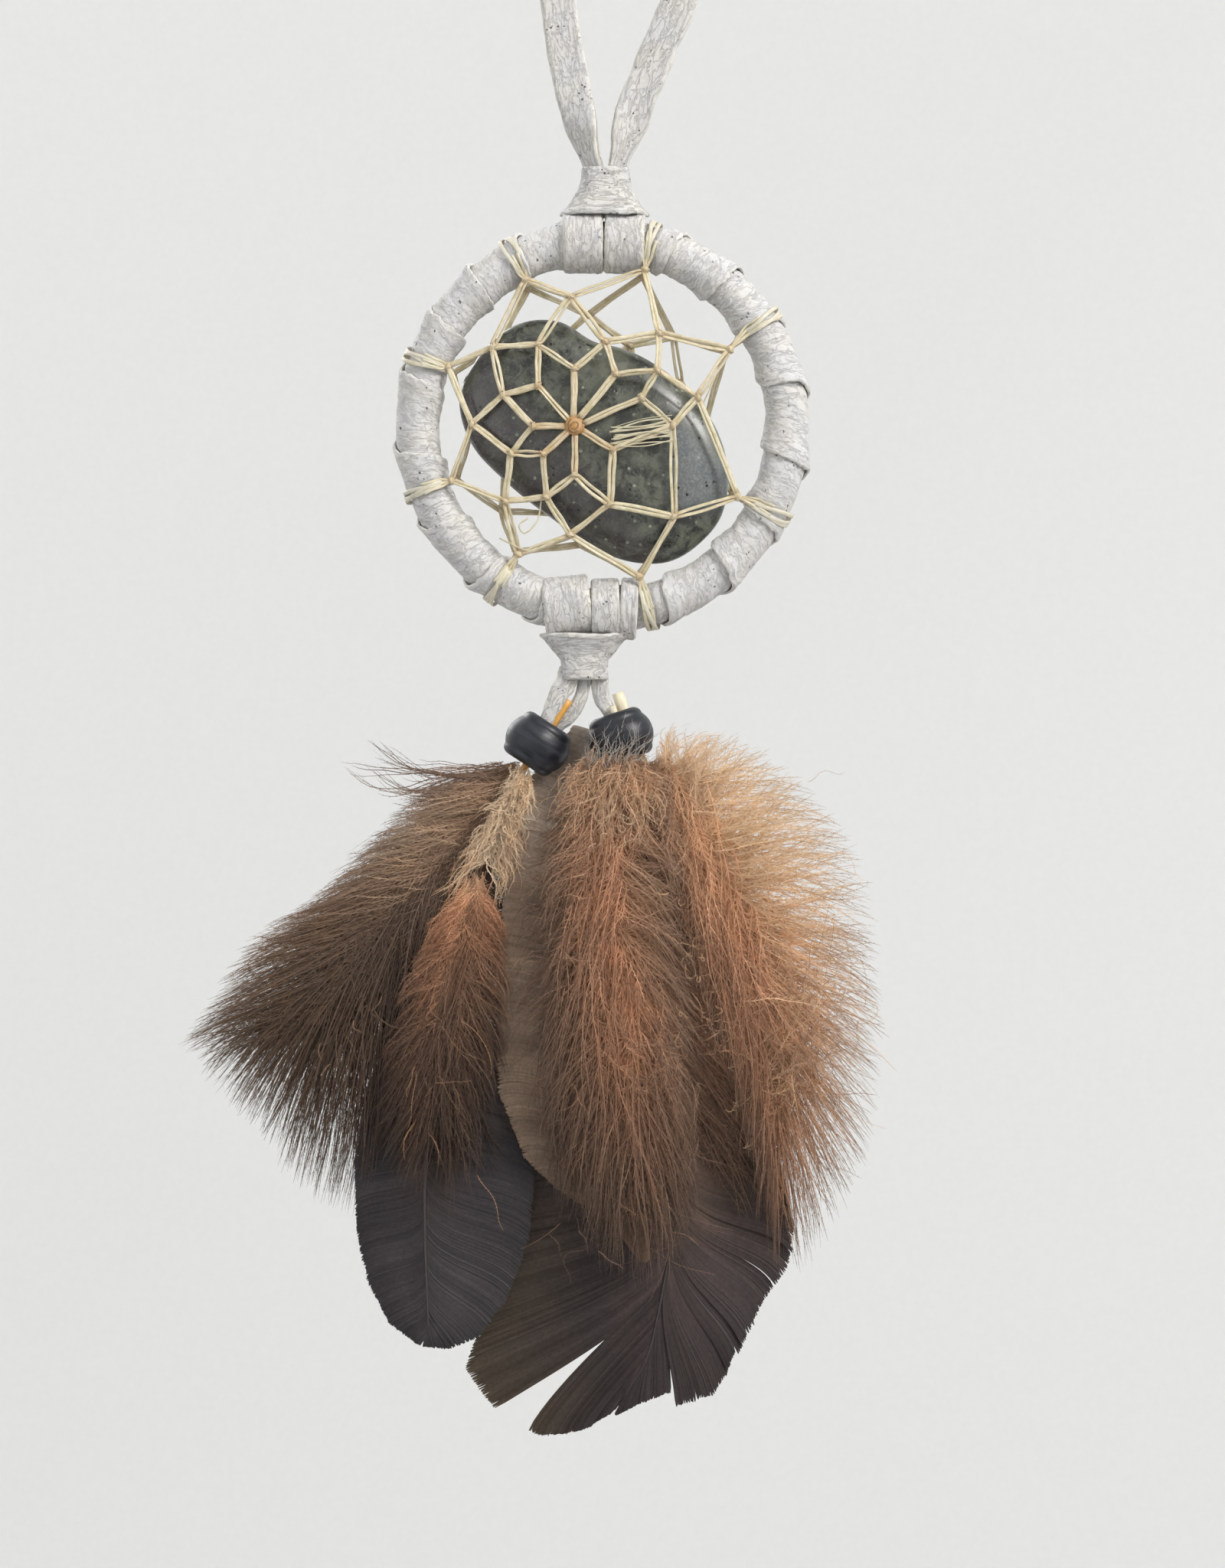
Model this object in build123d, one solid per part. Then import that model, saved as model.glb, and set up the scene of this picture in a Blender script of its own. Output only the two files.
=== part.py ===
from build123d import *

import math
import os

# A dream catcher: a leather-wrapped hoop with a sinew web round a polished stone, hung on a lace loop,
# with two beaded feather pendants below.  Millimetres, +X right, +Y back, +Z up.
# The shapes are laid out about the hoop's centre, then moved so that the origin is the hook point,
# where the top of the hanging loop rests.

# ---------------------------------------------------------------- driving dimensions
hoop_centre = (-4.0, 0, -84.3)  # from the hook point
hoop_radius = 25.4  # centre line of the ring: a two inch craft hoop
core_radius = 2.0
wrap_radius = 3.3  # core and leather together
fit_gap = 0.04  # between faces that only touch

lace_width = 5.0
lace_thick = 1.3
turn_radius = wrap_radius + 0.95  # lace wound over the wrapped ring

sinew_radius = 0.32
knot_radius = 0.55
hitch_angles = [118, 75, 34, -27, -76, 237, 200, 160]  # where the sinew goes round the ring, degrees

bead_radius = 4.5
bead_height = 6.6
bead_bore_radius = 2.2

loop_hinge_z = 37.2  # the lace bends just above the top collar
pendant_hinge_z = -35.7  # the laces bend just below the bottom collar

left_bead_centre = (-8.95, -43.7)  # x and z
right_bead_centre = (2.5, -42.7)
left_lace_top_x = -3.7
right_lace_top_x = 0.15

quill_radius = 0.42


# ---------------------------------------------------------------- helpers
def to_row_frame(shape):
    return shape.moved(Location(hoop_centre))


def on_ring(degrees, radius=hoop_radius, y=0.0):
    angle = math.radians(degrees)
    return Vector(radius * math.cos(angle), y, radius * math.sin(angle))


def ring_tube(outer, inner, start, sweep_angle):
    """A stretch of tube round the ring, from the angle start, anticlockwise seen from the front."""
    section_plane = Plane(on_ring(start), x_dir=on_ring(start), z_dir=on_ring(start + 90))
    section = section_plane * Circle(outer)
    if inner:
        section -= section_plane * Circle(inner)
    return revolve(section, Axis((0, 0, 0), (0, -1, 0)), sweep_angle)


def flat_plate(points, y_front, y_back, smooth=True):
    """A plate of the outline through the (x, z) points, between two depths."""
    corners = [(x, z) for x, z in points]
    with BuildLine(Plane.XZ.offset(-y_back)) as outline:
        if smooth:
            Spline(*corners, periodic=True)
        else:
            Polyline(*corners, close=True)
    return extrude(make_face(outline.line), y_back - y_front, dir=(0, -1, 0))


def tapered_sleeve(sections):
    """A loft through (z, width, depth, x) sections with rounded corners."""
    faces = [
        Plane.XY.offset(z) * Pos(x, 0) * RectangleRounded(width, depth, 0.4 * depth)
        for z, width, depth, x in sections
    ]
    return loft(faces)


def thread(a, b, radius=sinew_radius):
    a, b = Vector(*a), Vector(*b)
    return Plane(a, z_dir=b - a) * extrude(Circle(radius), (b - a).length)


def tube_along(points, radius, corner_radius):
    """A round rod along straight runs joined by tangent arcs."""
    with BuildLine() as path:
        FilletPolyline(*points, radius=corner_radius)
    start = Plane(path.line @ 0, z_dir=path.line % 0)
    return sweep(start * Circle(radius), path.line)


nodes = {}

# ---------------------------------------------------------------- hoop: core and leather
nodes["hoop_core_ring"] = Rot(90, 0, 0) * Torus(hoop_radius, core_radius)
nodes["hoop_leather_wrap"] = Rot(90, 0, 0) * (
    Torus(hoop_radius, wrap_radius) - Torus(hoop_radius, core_radius + fit_gap)
)

hitches = []
for hitch_angle in hitch_angles:
    hitch_plane = Plane(on_ring(hitch_angle), z_dir=on_ring(hitch_angle + 90))
    hitches.append(hitch_plane * Torus(wrap_radius + sinew_radius + fit_gap, sinew_radius))
nodes["sinew_ring_hitches"] = Compound(children=hitches)

# ---------------------------------------------------------------- lace turns and collars
lace_turns = {  # first angle and sweep round the ring, degrees
    "top_lace_turn_left": (89.6, 12.6),
    "top_lace_turn_right": (77.0, 12.4),
    "bottom_lace_turn_left": (251.5, 15.2),
    "bottom_lace_turn_middle": (266.9, 8.8),
    "bottom_lace_turn_right": (275.9, 5.0),
}
for name, (first_angle, sweep_angle) in lace_turns.items():
    nodes[name] = ring_tube(turn_radius, wrap_radius + fit_gap, first_angle, sweep_angle)

turn_top_z = hoop_radius + turn_radius + 0.1  # where the collars start, above and below
top_collar_end, bottom_collar_end = 35.4, -34.2
top_neck_x, bottom_neck_x = 0.35, -2.4
neck_gap = 0.02  # half the gap between the two laces, and the gap at their ends
neck_room_height = 8.0  # longer than either collar


def lace_neck(x, low, high):
    """Two laces back to back inside a collar."""
    strip = Box(lace_width, lace_thick, high - low)
    y = lace_thick / 2 + neck_gap
    return Compound(children=[Pos(x, side * y, (low + high) / 2) * strip for side in (-1, 1)])


def neck_room(x, low, high):
    """The bore of a collar."""
    room = Box(lace_width + 0.2, 2 * lace_thick + 0.1, neck_room_height)
    return Pos(x, 0, (low + high) / 2) * room


top_collar_outer = tapered_sleeve(
    [
        (turn_top_z, 12.1, 7.0, 0.2),
        (turn_top_z + 1.3, 9.0, 5.4, 0.25),
        (turn_top_z + 3.2, 7.0, 4.6, top_neck_x),
        (top_collar_end, 6.4, 4.2, 0.4),
    ]
)
nodes["top_collar"] = top_collar_outer - neck_room(top_neck_x, turn_top_z, top_collar_end)
nodes["top_lace_neck"] = lace_neck(top_neck_x, turn_top_z, top_collar_end - 0.1)

bottom_collar_outer = tapered_sleeve(
    [
        (bottom_collar_end, 6.3, 4.2, bottom_neck_x),
        (bottom_collar_end + 2.0, 6.3, 4.2, bottom_neck_x),
        (bottom_collar_end + 3.3, 8.4, 5.0, bottom_neck_x),
        (-turn_top_z, 12.2, 7.0, bottom_neck_x),
    ]
)
nodes["bottom_collar"] = bottom_collar_outer - neck_room(bottom_neck_x, bottom_collar_end, -turn_top_z)
nodes["bottom_lace_neck"] = lace_neck(bottom_neck_x, bottom_collar_end + 0.1, -turn_top_z)

# ---------------------------------------------------------------- hanging loop, a flat lace
# Route of its centre line, x and z: up the left leg, over the hook, down the right leg.
loop_route = [
    (-1.7, loop_hinge_z - 0.4),
    (-3.4, 43.0),
    (-5.0, 50.5),
    (-6.4, 59.5),
    (-6.6, 69.0),
    (-4.4, 78.0),
    (0.6, 84.8),
    (7.4, 85.2),
    (12.2, 79.4),
    (13.6, 70.0),
    (11.1, 59.4),
    (6.9, 50.0),
    (4.1, 43.0),
    (2.3, loop_hinge_z - 0.4),
]


def route_radii(route):
    """Each corner's arc is as large as its two runs allow."""
    radii = []
    for before, here, after in zip(route, route[1:], route[2:]):
        first, second = Vector(*here) - Vector(*before), Vector(*after) - Vector(*here)
        half_turn = math.radians(first.get_angle(second)) / 2
        radii.append(0.45 * min(first.length, second.length) / math.tan(half_turn))
    return radii


loop_radii = route_radii(loop_route)
with BuildLine(Plane.XZ) as loop_path:
    FilletPolyline(*loop_route, radius=loop_radii)
loop_line = loop_path.wires()[0]
loop_halves = []
for half in (loop_line.trim(0, 0.5), loop_line.trim(0.5, 1)):
    start = Plane(half @ 0, x_dir=(0, 1, 0), z_dir=half % 0)
    loop_halves.append(sweep(start * Rectangle(lace_thick, lace_width), half))
nodes["hanging_loop"] = loop_halves[0] + loop_halves[1]  # the legs cross where they enter the collar
loop_volume = sum(half.volume for half in loop_halves)
print("hanging loop arc radii", [round(r, 1) for r in loop_radii])
print("hanging loop length", round(loop_line.length, 1))
loop_share = loop_volume / (lace_thick * lace_width * loop_line.length)
print("hanging loop volume over section times length", round(loop_share, 3))
print("hanging loop top of centre line", round(loop_line.bounding_box().max.Z, 2))

# ---------------------------------------------------------------- stone
stone_half_depth = 4.4
stone_outline = [
    (-19.6, 3.2),
    (-17.4, 9.4),
    (-12.2, 13.8),
    (-6.2, 14.3),
    (-1.2, 11.6),
    (4.0, 10.2),
    (10.0, 6.4),
    (15.2, 0.2),
    (17.3, -7.4),
    (15.0, -14.6),
    (8.8, -18.8),
    (1.6, -18.2),
    (-5.6, -13.8),
    (-12.4, -8.4),
    (-17.6, -3.2),
]
stone_middle = (-1.0, -2.2)


def stone_section(level):
    """The outline, drawn in towards the middle, at a level like a latitude from front to back."""
    share = math.cos(math.radians(level)) ** 0.75
    y = stone_half_depth * math.sin(math.radians(level))
    x0, z0 = stone_middle
    points = [(x0 + share * (x - x0), z0 + share * (z - z0)) for x, z in stone_outline]
    with BuildLine(Plane.XZ.offset(-y)) as outline:
        Spline(*points, periodic=True)
    return make_face(outline.line)


stone_levels = [-74, -52, -32, -11, 11, 32, 52, 74]
nodes["stone"] = loft([stone_section(level) for level in stone_levels], ruled=True)

# ---------------------------------------------------------------- sinew webs
web_edge_depth = 1.6  # from the hoop's plane, where the web meets the ring
web_hub_depth = stone_half_depth + 1.2
web_reach = 21.3  # knots further out would touch the hitches
dome_start, dome_run = 24.0, 14.0  # radius where the web starts to rise, and how far in it is flat
thread_end_gap = 0.3  # leaves room for the slanting end of a thread at its hitch


def web_point(x, z, side):
    """A knot of the web, domed clear of the stone on its front (side -1) or back (side 1)."""
    held = min(1.0, web_reach / math.hypot(x, z))
    share = min(1.0, max(0.0, (dome_start - held * math.hypot(x, z)) / dome_run))
    depth = web_edge_depth + (web_hub_depth - web_edge_depth) * share**0.6
    return (held * x, side * depth, held * z)


# The webs' knots, x and z, round by round from the ring inwards.  Knot i of each round hangs between
# knots i - 1 and i of the round before.
front_rounds = [
    [
        (-10.5, 19.8), (5.8, 21.2), (17.4, 10.2), (18.5, -9.9),
        (5.1, -20.9), (-11.5, -17.8), (-20.7, -7.7), (-21.2, 8.0),
    ],
    [
        (-15.1, 10.5), (-4.4, 17.4), (7.7, 12.3), (13.0, 3.6),
        (9.8, -12.7), (-4.4, -15.2), (-13.3, -10.6), (-17.9, 0.0),
    ],
    [
        (-13.6, 3.9), (-8.8, 10.8), (0.4, 11.1), (7.5, 7.2),
        (9.6, -0.3), (1.0, -11.1), (-7.7, -10.1), (-12.5, -4.1),
    ],
    [
        (-9.5, -0.4), (-8.8, 5.1), (-3.8, 7.4), (1.8, 6.7),
        (5.3, 3.5), (1.4, -3.6), (-3.8, -7.1), (-8.1, -4.2),
    ],
]
back_rounds = [
    [
        (-10.3, 19.2), (5.6, 20.9), (16.9, 10.4), (18.0, -9.4),
        (4.8, -20.5), (-11.9, -17.2), (-20.2, -7.2), (-20.6, 7.4),
    ],
    [
        (-14.3, 11.8), (-2.0, 15.6), (9.7, 12.6), (14.2, 0.5),
        (11.0, -13.0), (-3.0, -16.2), (-14.0, -11.5), (-18.3, -0.5),
    ],
    [
        (-14.2, 5.2), (-7.2, 11.2), (3.8, 11.4), (10.8, 6.2),
        (10.6, -5.8), (3.2, -12.0), (-6.8, -11.8), (-13.4, -5.4),
    ],
    [
        (-9.0, -0.2), (-7.2, 5.2), (-1.6, 7.4), (4.6, 6.2),
        (6.4, 0.4), (4.4, -5.6), (-1.4, -7.2), (-7.0, -5.0),
    ],
]
hubs = {"front": (-3.8, -0.4), "back": (-1.2, 0.2)}
hub_radius = 1.5
hub_wire_radius = 0.38
hub_end_angles = [180, 135, 98, 58, 20, -35, -85, -138]


def ring_end(angle, side):
    """Where a thread meets its hitch, on the inner side of the ring."""
    reach = wrap_radius + fit_gap + 2 * sinew_radius + thread_end_gap
    inward = math.radians(48)
    return tuple(on_ring(angle, hoop_radius - reach * math.cos(inward), side * reach * math.sin(inward)))


def hub_end(hub, degrees):
    angle = math.radians(degrees)
    return (hub[0] + hub_radius * math.cos(angle), hub[1] + hub_radius * math.sin(angle))


def web(rounds, hub, side):
    """One face's web: from the ring to the first round, round to round, and into the hub."""
    first_knots = [web_point(*knot, side) for knot in rounds[0]]
    runs = [(ring_end(angle, side), knot) for angle, knot in zip(hitch_angles, first_knots)]
    for outer, inner in zip(rounds, rounds[1:]):
        for i, knot in enumerate(inner):
            runs += [(web_point(*outer[j], side), web_point(*knot, side)) for j in (i - 1, i)]
    ends = [hub_end(hub, degrees) for degrees in hub_end_angles]
    runs += [(web_point(*knot, side), web_point(*end, side)) for knot, end in zip(rounds[-1], ends)]
    knots = [web_point(*knot, side) for one_round in rounds for knot in one_round]
    knot_shape = Rot(90, 0, 0) * Cylinder(knot_radius, 1.5 * knot_radius)
    return Part() + [Pos(*knot) * knot_shape for knot in knots] + [thread(a, b) for a, b in runs]


for face, rounds, side in (("front", front_rounds, -1), ("back", back_rounds, 1)):
    hub = hubs[face]
    hub_place = Pos(*web_point(*hub, side)) * Rot(90, 0, 0)
    nodes[f"web_{face}_hub_knot"] = hub_place * Torus(hub_radius - 2 * hub_wire_radius, hub_wire_radius)
    nodes[f"web_{face}"] = web(rounds, hub, side)

# ---------------------------------------------------------------- beads
bead_end_radius = 2.85  # its rounded side's arc centre stays outside the axis
half_height = bead_height / 2
with BuildSketch(Plane.XZ) as bead_profile:
    with BuildLine():
        Line((bead_bore_radius, -half_height), (bead_end_radius, -half_height))
        ThreePointArc((bead_end_radius, -half_height), (bead_radius, 0), (bead_end_radius, half_height))
        Line((bead_end_radius, half_height), (bead_bore_radius, half_height))
        Line((bead_bore_radius, half_height), (bead_bore_radius, -half_height))
    make_face()
bead = revolve(bead_profile.sketch, Axis.Z)


class Pendant:
    """The lace's line from the collar down through a bead, in the XZ plane."""

    def __init__(self, top_x, centre):
        top, self.centre = Vector(top_x, 0, pendant_hinge_z), Vector(centre[0], 0, centre[1])
        self.down = (self.centre - top).normalized()
        self.across = Vector(-self.down.Z, 0, self.down.X)

    def at(self, down, across=0.0, y=0.0):
        """A point so far down from the bead's centre and across to the right."""
        spot = self.centre + self.down * down + self.across * across
        return Vector(spot.X, y, spot.Z)

    def bead(self):
        return Plane(self.centre, x_dir=(0, 1, 0), z_dir=self.down) * bead

    def lace(self, left_x, right_x, half_width, y_front, y_back):
        """A strip from the collar's mouth through the bead's bore."""
        top_z = pendant_hinge_z + 0.3
        stations = [(lace_in, 1), (lace_out, 1), (lace_out, -1), (lace_in, -1)]
        corners = [self.at(down, side * half_width) for down, side in stations]
        through_bead = [(corner.X, corner.Z) for corner in corners]
        outline = [(left_x, top_z), (right_x, top_z), *through_bead]
        return flat_plate(outline, y_front, y_back, smooth=False)

    def quill(self, start, across, y, rachis):
        """A shaft from above the bead, through its bore and along the feather."""
        route = [self.at(start, across, y), self.at(lace_out + 0.4, across, y)]
        route += [Vector(x, y, z) for x, z in rachis]
        return tube_along(route, quill_radius, quill_bend)


lace_in, lace_out = -5.5, 4.6  # the stretch of lace in line with the bore, from the bead's centre
quill_bend = 3.0

left = Pendant(left_lace_top_x, left_bead_centre)
right = Pendant(right_lace_top_x, right_bead_centre)
print("bead slide axes, up the laces", -left.down, -right.down)
nodes["left_bead"] = left.bead()
nodes["right_bead"] = right.bead()
nodes["left_lace_front"] = left.lace(-5.9, -3.0, 1.1, -1.05, -0.05)
nodes["left_lace_back"] = left.lace(-4.3, -1.5, 1.1, 0.05, 1.05)
nodes["right_lace"] = right.lace(-1.1, 1.5, 1.05, -0.5, 0.5)

# ---------------------------------------------------------------- feathers
# Each layer of feathers has its own depth: y of its front and back faces, and of its quill.
left_outer_layer = (1.1, 3.2, 1.55)
left_inner_layer = (-3.2, -1.1, -1.55)
centre_layer = (-3.6, -0.85, -1.35)
right_layer = (-0.75, 0.8, 0.0)
back_layer = (0.97, 1.63, 1.3)
vane_half_depth = 0.33

nodes["left_outer_feather_quill"] = left.quill(
    -4.3, 0, left_outer_layer[2], [(-20.0, -58.0), (-31.0, -70.0), (-42.5, -83.0)]
)
nodes["left_outer_feather_down"] = flat_plate(
    [
        (-12.5, -47.6),
        (-20.7, -45.2),
        (-30.2, -50.9),
        (-38.6, -58.3),
        (-48.1, -68.8),
        (-56.2, -84.6),
        (-47.1, -89.9),
        (-40.7, -99.4),
        (-35.5, -105.0),
        (-33.4, -93.1),
        (-26.0, -81.5),
        (-19.7, -65.7),
        (-13.8, -53.1),
    ],
    *left_outer_layer[:2],
)

left_inner_rachis = [(-17.6, -62.5), (-22.3, -88.8), (-24.4, -109.9), (-23.9, -125.6)]
nodes["left_inner_feather_quill"] = left.quill(-7.4, 0, left_inner_layer[2], left_inner_rachis)
left_inner_down = flat_plate(
    [
        (-11.2, -48.6),
        (-15.5, -57.0),
        (-23.9, -68.8),
        (-26.8, -81.5),
        (-30.2, -93.1),
        (-24.0, -97.3),
        (-18.0, -96.0),
        (-16.0, -88.0),
        (-15.8, -77.0),
        (-15.4, -66.7),
        (-11.8, -55.0),
    ],
    *left_inner_layer[:2],
)
nodes["left_inner_feather_down"] = left_inner_down
left_inner_vane = flat_plate(
    [
        (-32.6, -91.0),
        (-34.0, -101.5),
        (-33.4, -110.5),
        (-31.2, -119.0),
        (-27.6, -124.6),
        (-22.3, -127.1),
        (-18.8, -125.6),
        (-17.2, -119.8),
        (-16.0, -109.9),
        (-16.0, -98.0),
        (-22.0, -90.0),
    ],
    left_inner_layer[2] - vane_half_depth,
    left_inner_layer[2] + vane_half_depth,
)
nodes["left_inner_feather_vane"] = left_inner_vane - left_inner_down

nodes["centre_feather_quill"] = right.quill(
    -4.3, 0, centre_layer[2], [(1.4, -67.8), (4.5, -94.1), (6.6, -116.2)]
)
nodes["centre_feather_down"] = flat_plate(
    [
        (1.2, -48.6),
        (-7.6, -54.1),
        (-10.2, -62.5),
        (-12.8, -73.1),
        (-14.2, -83.6),
        (-13.9, -94.1),
        (-11.3, -102.5),
        (-4.9, -108.8),
        (-0.7, -116.2),
        (6.6, -119.4),
        (10.8, -114.1),
        (12.4, -99.4),
        (11.9, -83.6),
        (10.8, -67.8),
        (7.7, -55.2),
        (5.0, -49.0),
    ],
    *centre_layer[:2],
)

nodes["right_feather_quill"] = right.quill(
    -5.8, 1.62, right_layer[2], [(15.1, -62.5), (22.4, -83.6), (23.5, -109.9)]
)
nodes["right_feather_down"] = flat_plate(
    [
        (7.2, -47.6),
        (15.1, -43.0),
        (22.4, -48.8),
        (28.7, -57.3),
        (34.0, -67.8),
        (37.2, -78.3),
        (37.7, -90.9),
        (34.0, -102.5),
        (28.7, -112.0),
        (23.5, -116.2),
        (18.2, -105.7),
        (15.1, -94.1),
        (12.9, -78.3),
        (11.4, -62.5),
        (8.9, -53.0),
    ],
    *right_layer[:2],
)

back_rachis = [(6.6, -73.1), (11.3, -102.0), (10.3, -108.2), (8.6, -117.6), (6.3, -127.8), (2.9, -133.6)]
rachis_gap = 0.15
nodes["back_feather_quill"] = right.quill(-4.3, 0, back_layer[2], back_rachis)
nodes["back_feather_vane_left"] = flat_plate(
    [
        *[(x - rachis_gap, z) for x, z in back_rachis[1:]],
        (0.9, -136.0),
        (-5.4, -138.8),
        (-9.2, -139.1),
        (-10.0, -138.4),
        (7.2, -118.2),
        (1.7, -123.3),
        (-14.9, -135.3),
        (-18.8, -130.3),
        (-18.4, -128.3),
        (-15.5, -121.5),
        (-13.9, -115.2),
        (-10.2, -108.8),
        (-4.9, -102.5),
        (1.4, -98.3),
        (8.0, -96.4),
    ],
    *back_layer[:2],
    smooth=False,
)
nodes["back_feather_vane_right"] = flat_plate(
    [
        *[(x + rachis_gap, z) for x, z in back_rachis[1:]],
        (9.3, -133.0),
        (9.0, -120.0),
        (9.6, -134.9),
        (15.1, -133.5),
        (20.0, -124.7),
        (22.4, -119.8),
        (25.6, -115.6),
        (26.6, -109.9),
        (22.4, -101.5),
        (15.1, -96.4),
    ],
    *back_layer[:2],
    smooth=False,
)

os.makedirs("parts", exist_ok=True)
for name, shape in nodes.items():
    export_step(to_row_frame(shape), f"parts/{name}.step")
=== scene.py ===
import math

import bpy
import numpy as np
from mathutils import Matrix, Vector, noise


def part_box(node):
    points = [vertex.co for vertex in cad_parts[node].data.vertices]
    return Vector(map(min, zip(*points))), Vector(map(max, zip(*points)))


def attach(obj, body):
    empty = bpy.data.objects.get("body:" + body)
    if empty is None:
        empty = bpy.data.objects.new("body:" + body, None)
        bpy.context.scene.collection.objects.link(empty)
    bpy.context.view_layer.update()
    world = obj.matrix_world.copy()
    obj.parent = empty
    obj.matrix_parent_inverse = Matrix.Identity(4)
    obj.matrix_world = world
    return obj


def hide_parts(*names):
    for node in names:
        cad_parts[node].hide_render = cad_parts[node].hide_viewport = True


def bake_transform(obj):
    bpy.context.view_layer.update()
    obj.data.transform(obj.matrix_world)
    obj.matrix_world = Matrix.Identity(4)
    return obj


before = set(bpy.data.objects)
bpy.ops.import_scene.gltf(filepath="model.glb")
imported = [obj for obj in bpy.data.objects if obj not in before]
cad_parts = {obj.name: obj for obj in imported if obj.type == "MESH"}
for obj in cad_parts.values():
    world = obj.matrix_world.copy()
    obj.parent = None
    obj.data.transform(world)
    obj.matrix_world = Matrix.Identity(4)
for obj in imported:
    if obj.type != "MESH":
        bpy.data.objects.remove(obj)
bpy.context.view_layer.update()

# A dream catcher: a leather-wrapped hoop with a sinew web round a polished stone, hung on a lace loop,
# with two beaded feather pendants below.  Shapes are laid out in millimetres about the hoop's centre,
# +X right, +Y back, +Z up, and row() turns them into metres in the row frame.
MM = 0.001
TAU = 2 * math.pi

ring_low, ring_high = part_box("hoop_leather_wrap")
hoop_centre = np.array((ring_low + ring_high) / 2)
wrap_radius = (ring_high.y - ring_low.y) / 2 / MM
hoop_radius = (ring_high.x - ring_low.x) / 2 / MM - wrap_radius


def row(points):
    """Points in mm about the hoop's centre, as metres in the row frame."""
    return np.asarray(points, float) * MM + hoop_centre


def box_mm(node):
    """A CAD node's corners in mm about the hoop's centre."""
    return [(np.array(corner) - hoop_centre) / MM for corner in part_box(node)]


def unit(vectors):
    return vectors / np.maximum(np.linalg.norm(vectors, axis=-1, keepdims=True), 1e-9)


def as_vectors(*columns):
    """Arrays whose shapes fit each other, side by side as vectors."""
    return np.stack(np.broadcast_arrays(*columns), -1)


def between(share, places, values):
    """Each column of values at those shares, by straight lines between its places."""
    return np.stack([np.interp(share, places, column) for column in values.T], -1)


def smooth(x, low=0.0, high=1.0):
    t = np.clip((np.asarray(x, float) - low) / (high - low), 0, 1)
    return t * t * (3 - 2 * t)


def ripple(points, scale, seed, octaves=3):
    """Fractal noise, about -1 to 1, at each of (n, 3) points; scale is the size of its largest lumps."""
    shift = Vector((seed * 17.3, seed * 5.1, seed * 9.7))
    flat = np.asarray(points, float).reshape(-1, 3)
    values = [
        noise.fractal(Vector(p) / scale + shift, 0.6, 2.1, octaves, noise_basis="PERLIN_ORIGINAL")
        for p in flat
    ]
    return np.array(values).reshape(np.shape(points)[:-1])


# ---------------------------------------------------------------- meshes
def grid_faces(rows, columns, close_rows=False, close_columns=False):
    """Quads over rows x columns points, numbered row by row."""
    i = np.arange(rows if close_rows else rows - 1)
    j = np.arange(columns if close_columns else columns - 1)
    i, j = np.meshgrid(i, j, indexing="ij")
    i2, j2 = (i + 1) % rows, (j + 1) % columns
    quads = np.stack([i * columns + j, i * columns + j2, i2 * columns + j2, i2 * columns + j], -1)
    return quads.reshape(-1, 4)


class Shape:
    """Parts of a mesh, gathered: points in mm, faces, and named values at the points."""

    def __init__(self):
        self.points, self.faces, self.values, self.count = [], [], {}, 0

    def add(self, points, faces, **values):
        points = np.asarray(points, float)
        size = points.size // 3
        self.points.append(points.reshape(size, 3))
        for block in faces if isinstance(faces, list) else [faces]:
            self.faces.append(np.asarray(block) + self.count)
        for name, value in values.items():
            wide = 3 if name in VECTORS else 1
            filled = np.zeros((size, wide)) + np.asarray(value, float).reshape(-1, wide)
            self.values.setdefault(name, []).append((self.count, filled))
        self.count += size

    def piece(self, name, material, body=None, slot=None, replaces=()):
        """The mesh as an object in the row frame."""
        mesh = bpy.data.meshes.new(name)
        points = row(np.concatenate(self.points))
        sizes = np.concatenate([np.full(len(block), block.shape[1]) for block in self.faces])
        loops = np.concatenate([block.ravel() for block in self.faces])
        mesh.vertices.add(len(points))
        mesh.vertices.foreach_set("co", points.ravel())
        mesh.loops.add(len(loops))
        mesh.loops.foreach_set("vertex_index", loops.astype(np.int32))
        mesh.polygons.add(len(sizes))
        starts = np.concatenate([[0], np.cumsum(sizes)[:-1]])
        mesh.polygons.foreach_set("loop_start", starts.astype(np.int32))
        mesh.update(calc_edges=True)
        mesh.validate()
        mesh.polygons.foreach_set("use_smooth", np.full(len(mesh.polygons), True))
        for value_name, blocks in self.values.items():
            wide = value_name in VECTORS
            attribute = mesh.attributes.new(value_name, "FLOAT_VECTOR" if wide else "FLOAT", "POINT")
            full = np.zeros((self.count, 3 if wide else 1), np.float32)
            for start, filled in blocks:
                full[start : start + len(filled)] = filled
            attribute.data.foreach_set("vector" if wide else "value", full.ravel())
        mesh.materials.append(material)
        obj = bpy.data.objects.new(name, mesh)
        bpy.context.scene.collection.objects.link(obj)
        if replaces:
            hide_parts(*replaces)
        if body:
            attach(obj, body)
        return obj


VECTORS = ("grain", "colour")  # grain: along, across and through the leather or fibre, in mm


def frames_along(path, up):
    """Tangent, side and up directions at each point of a path, where up is near the given direction."""
    tangents = unit(np.gradient(path, axis=0))
    up = np.broadcast_to(np.asarray(up, float), path.shape)
    sides = unit(np.cross(tangents, up))
    return tangents, sides, unit(np.cross(sides, tangents))


def lengths_along(path):
    steps = np.linalg.norm(np.diff(path, axis=0), axis=1)
    return np.concatenate([[0], np.cumsum(steps)])


def sweep_section(path, up, section, twist=0.0):
    """Points (stations, section points, 3): a section of (side, up) pairs, or one a station, along a path."""
    path = np.asarray(path, float)
    _, sides, ups = frames_along(path, up)
    twist = np.broadcast_to(np.asarray(twist, float), len(path))[:, None]
    across = sides * np.cos(twist) + ups * np.sin(twist)
    through = ups * np.cos(twist) - sides * np.sin(twist)
    section = np.broadcast_to(section, (len(path),) + np.shape(section)[-2:])
    return path[:, None] + section[..., :1] * across[:, None] + section[..., 1:] * through[:, None]


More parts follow.
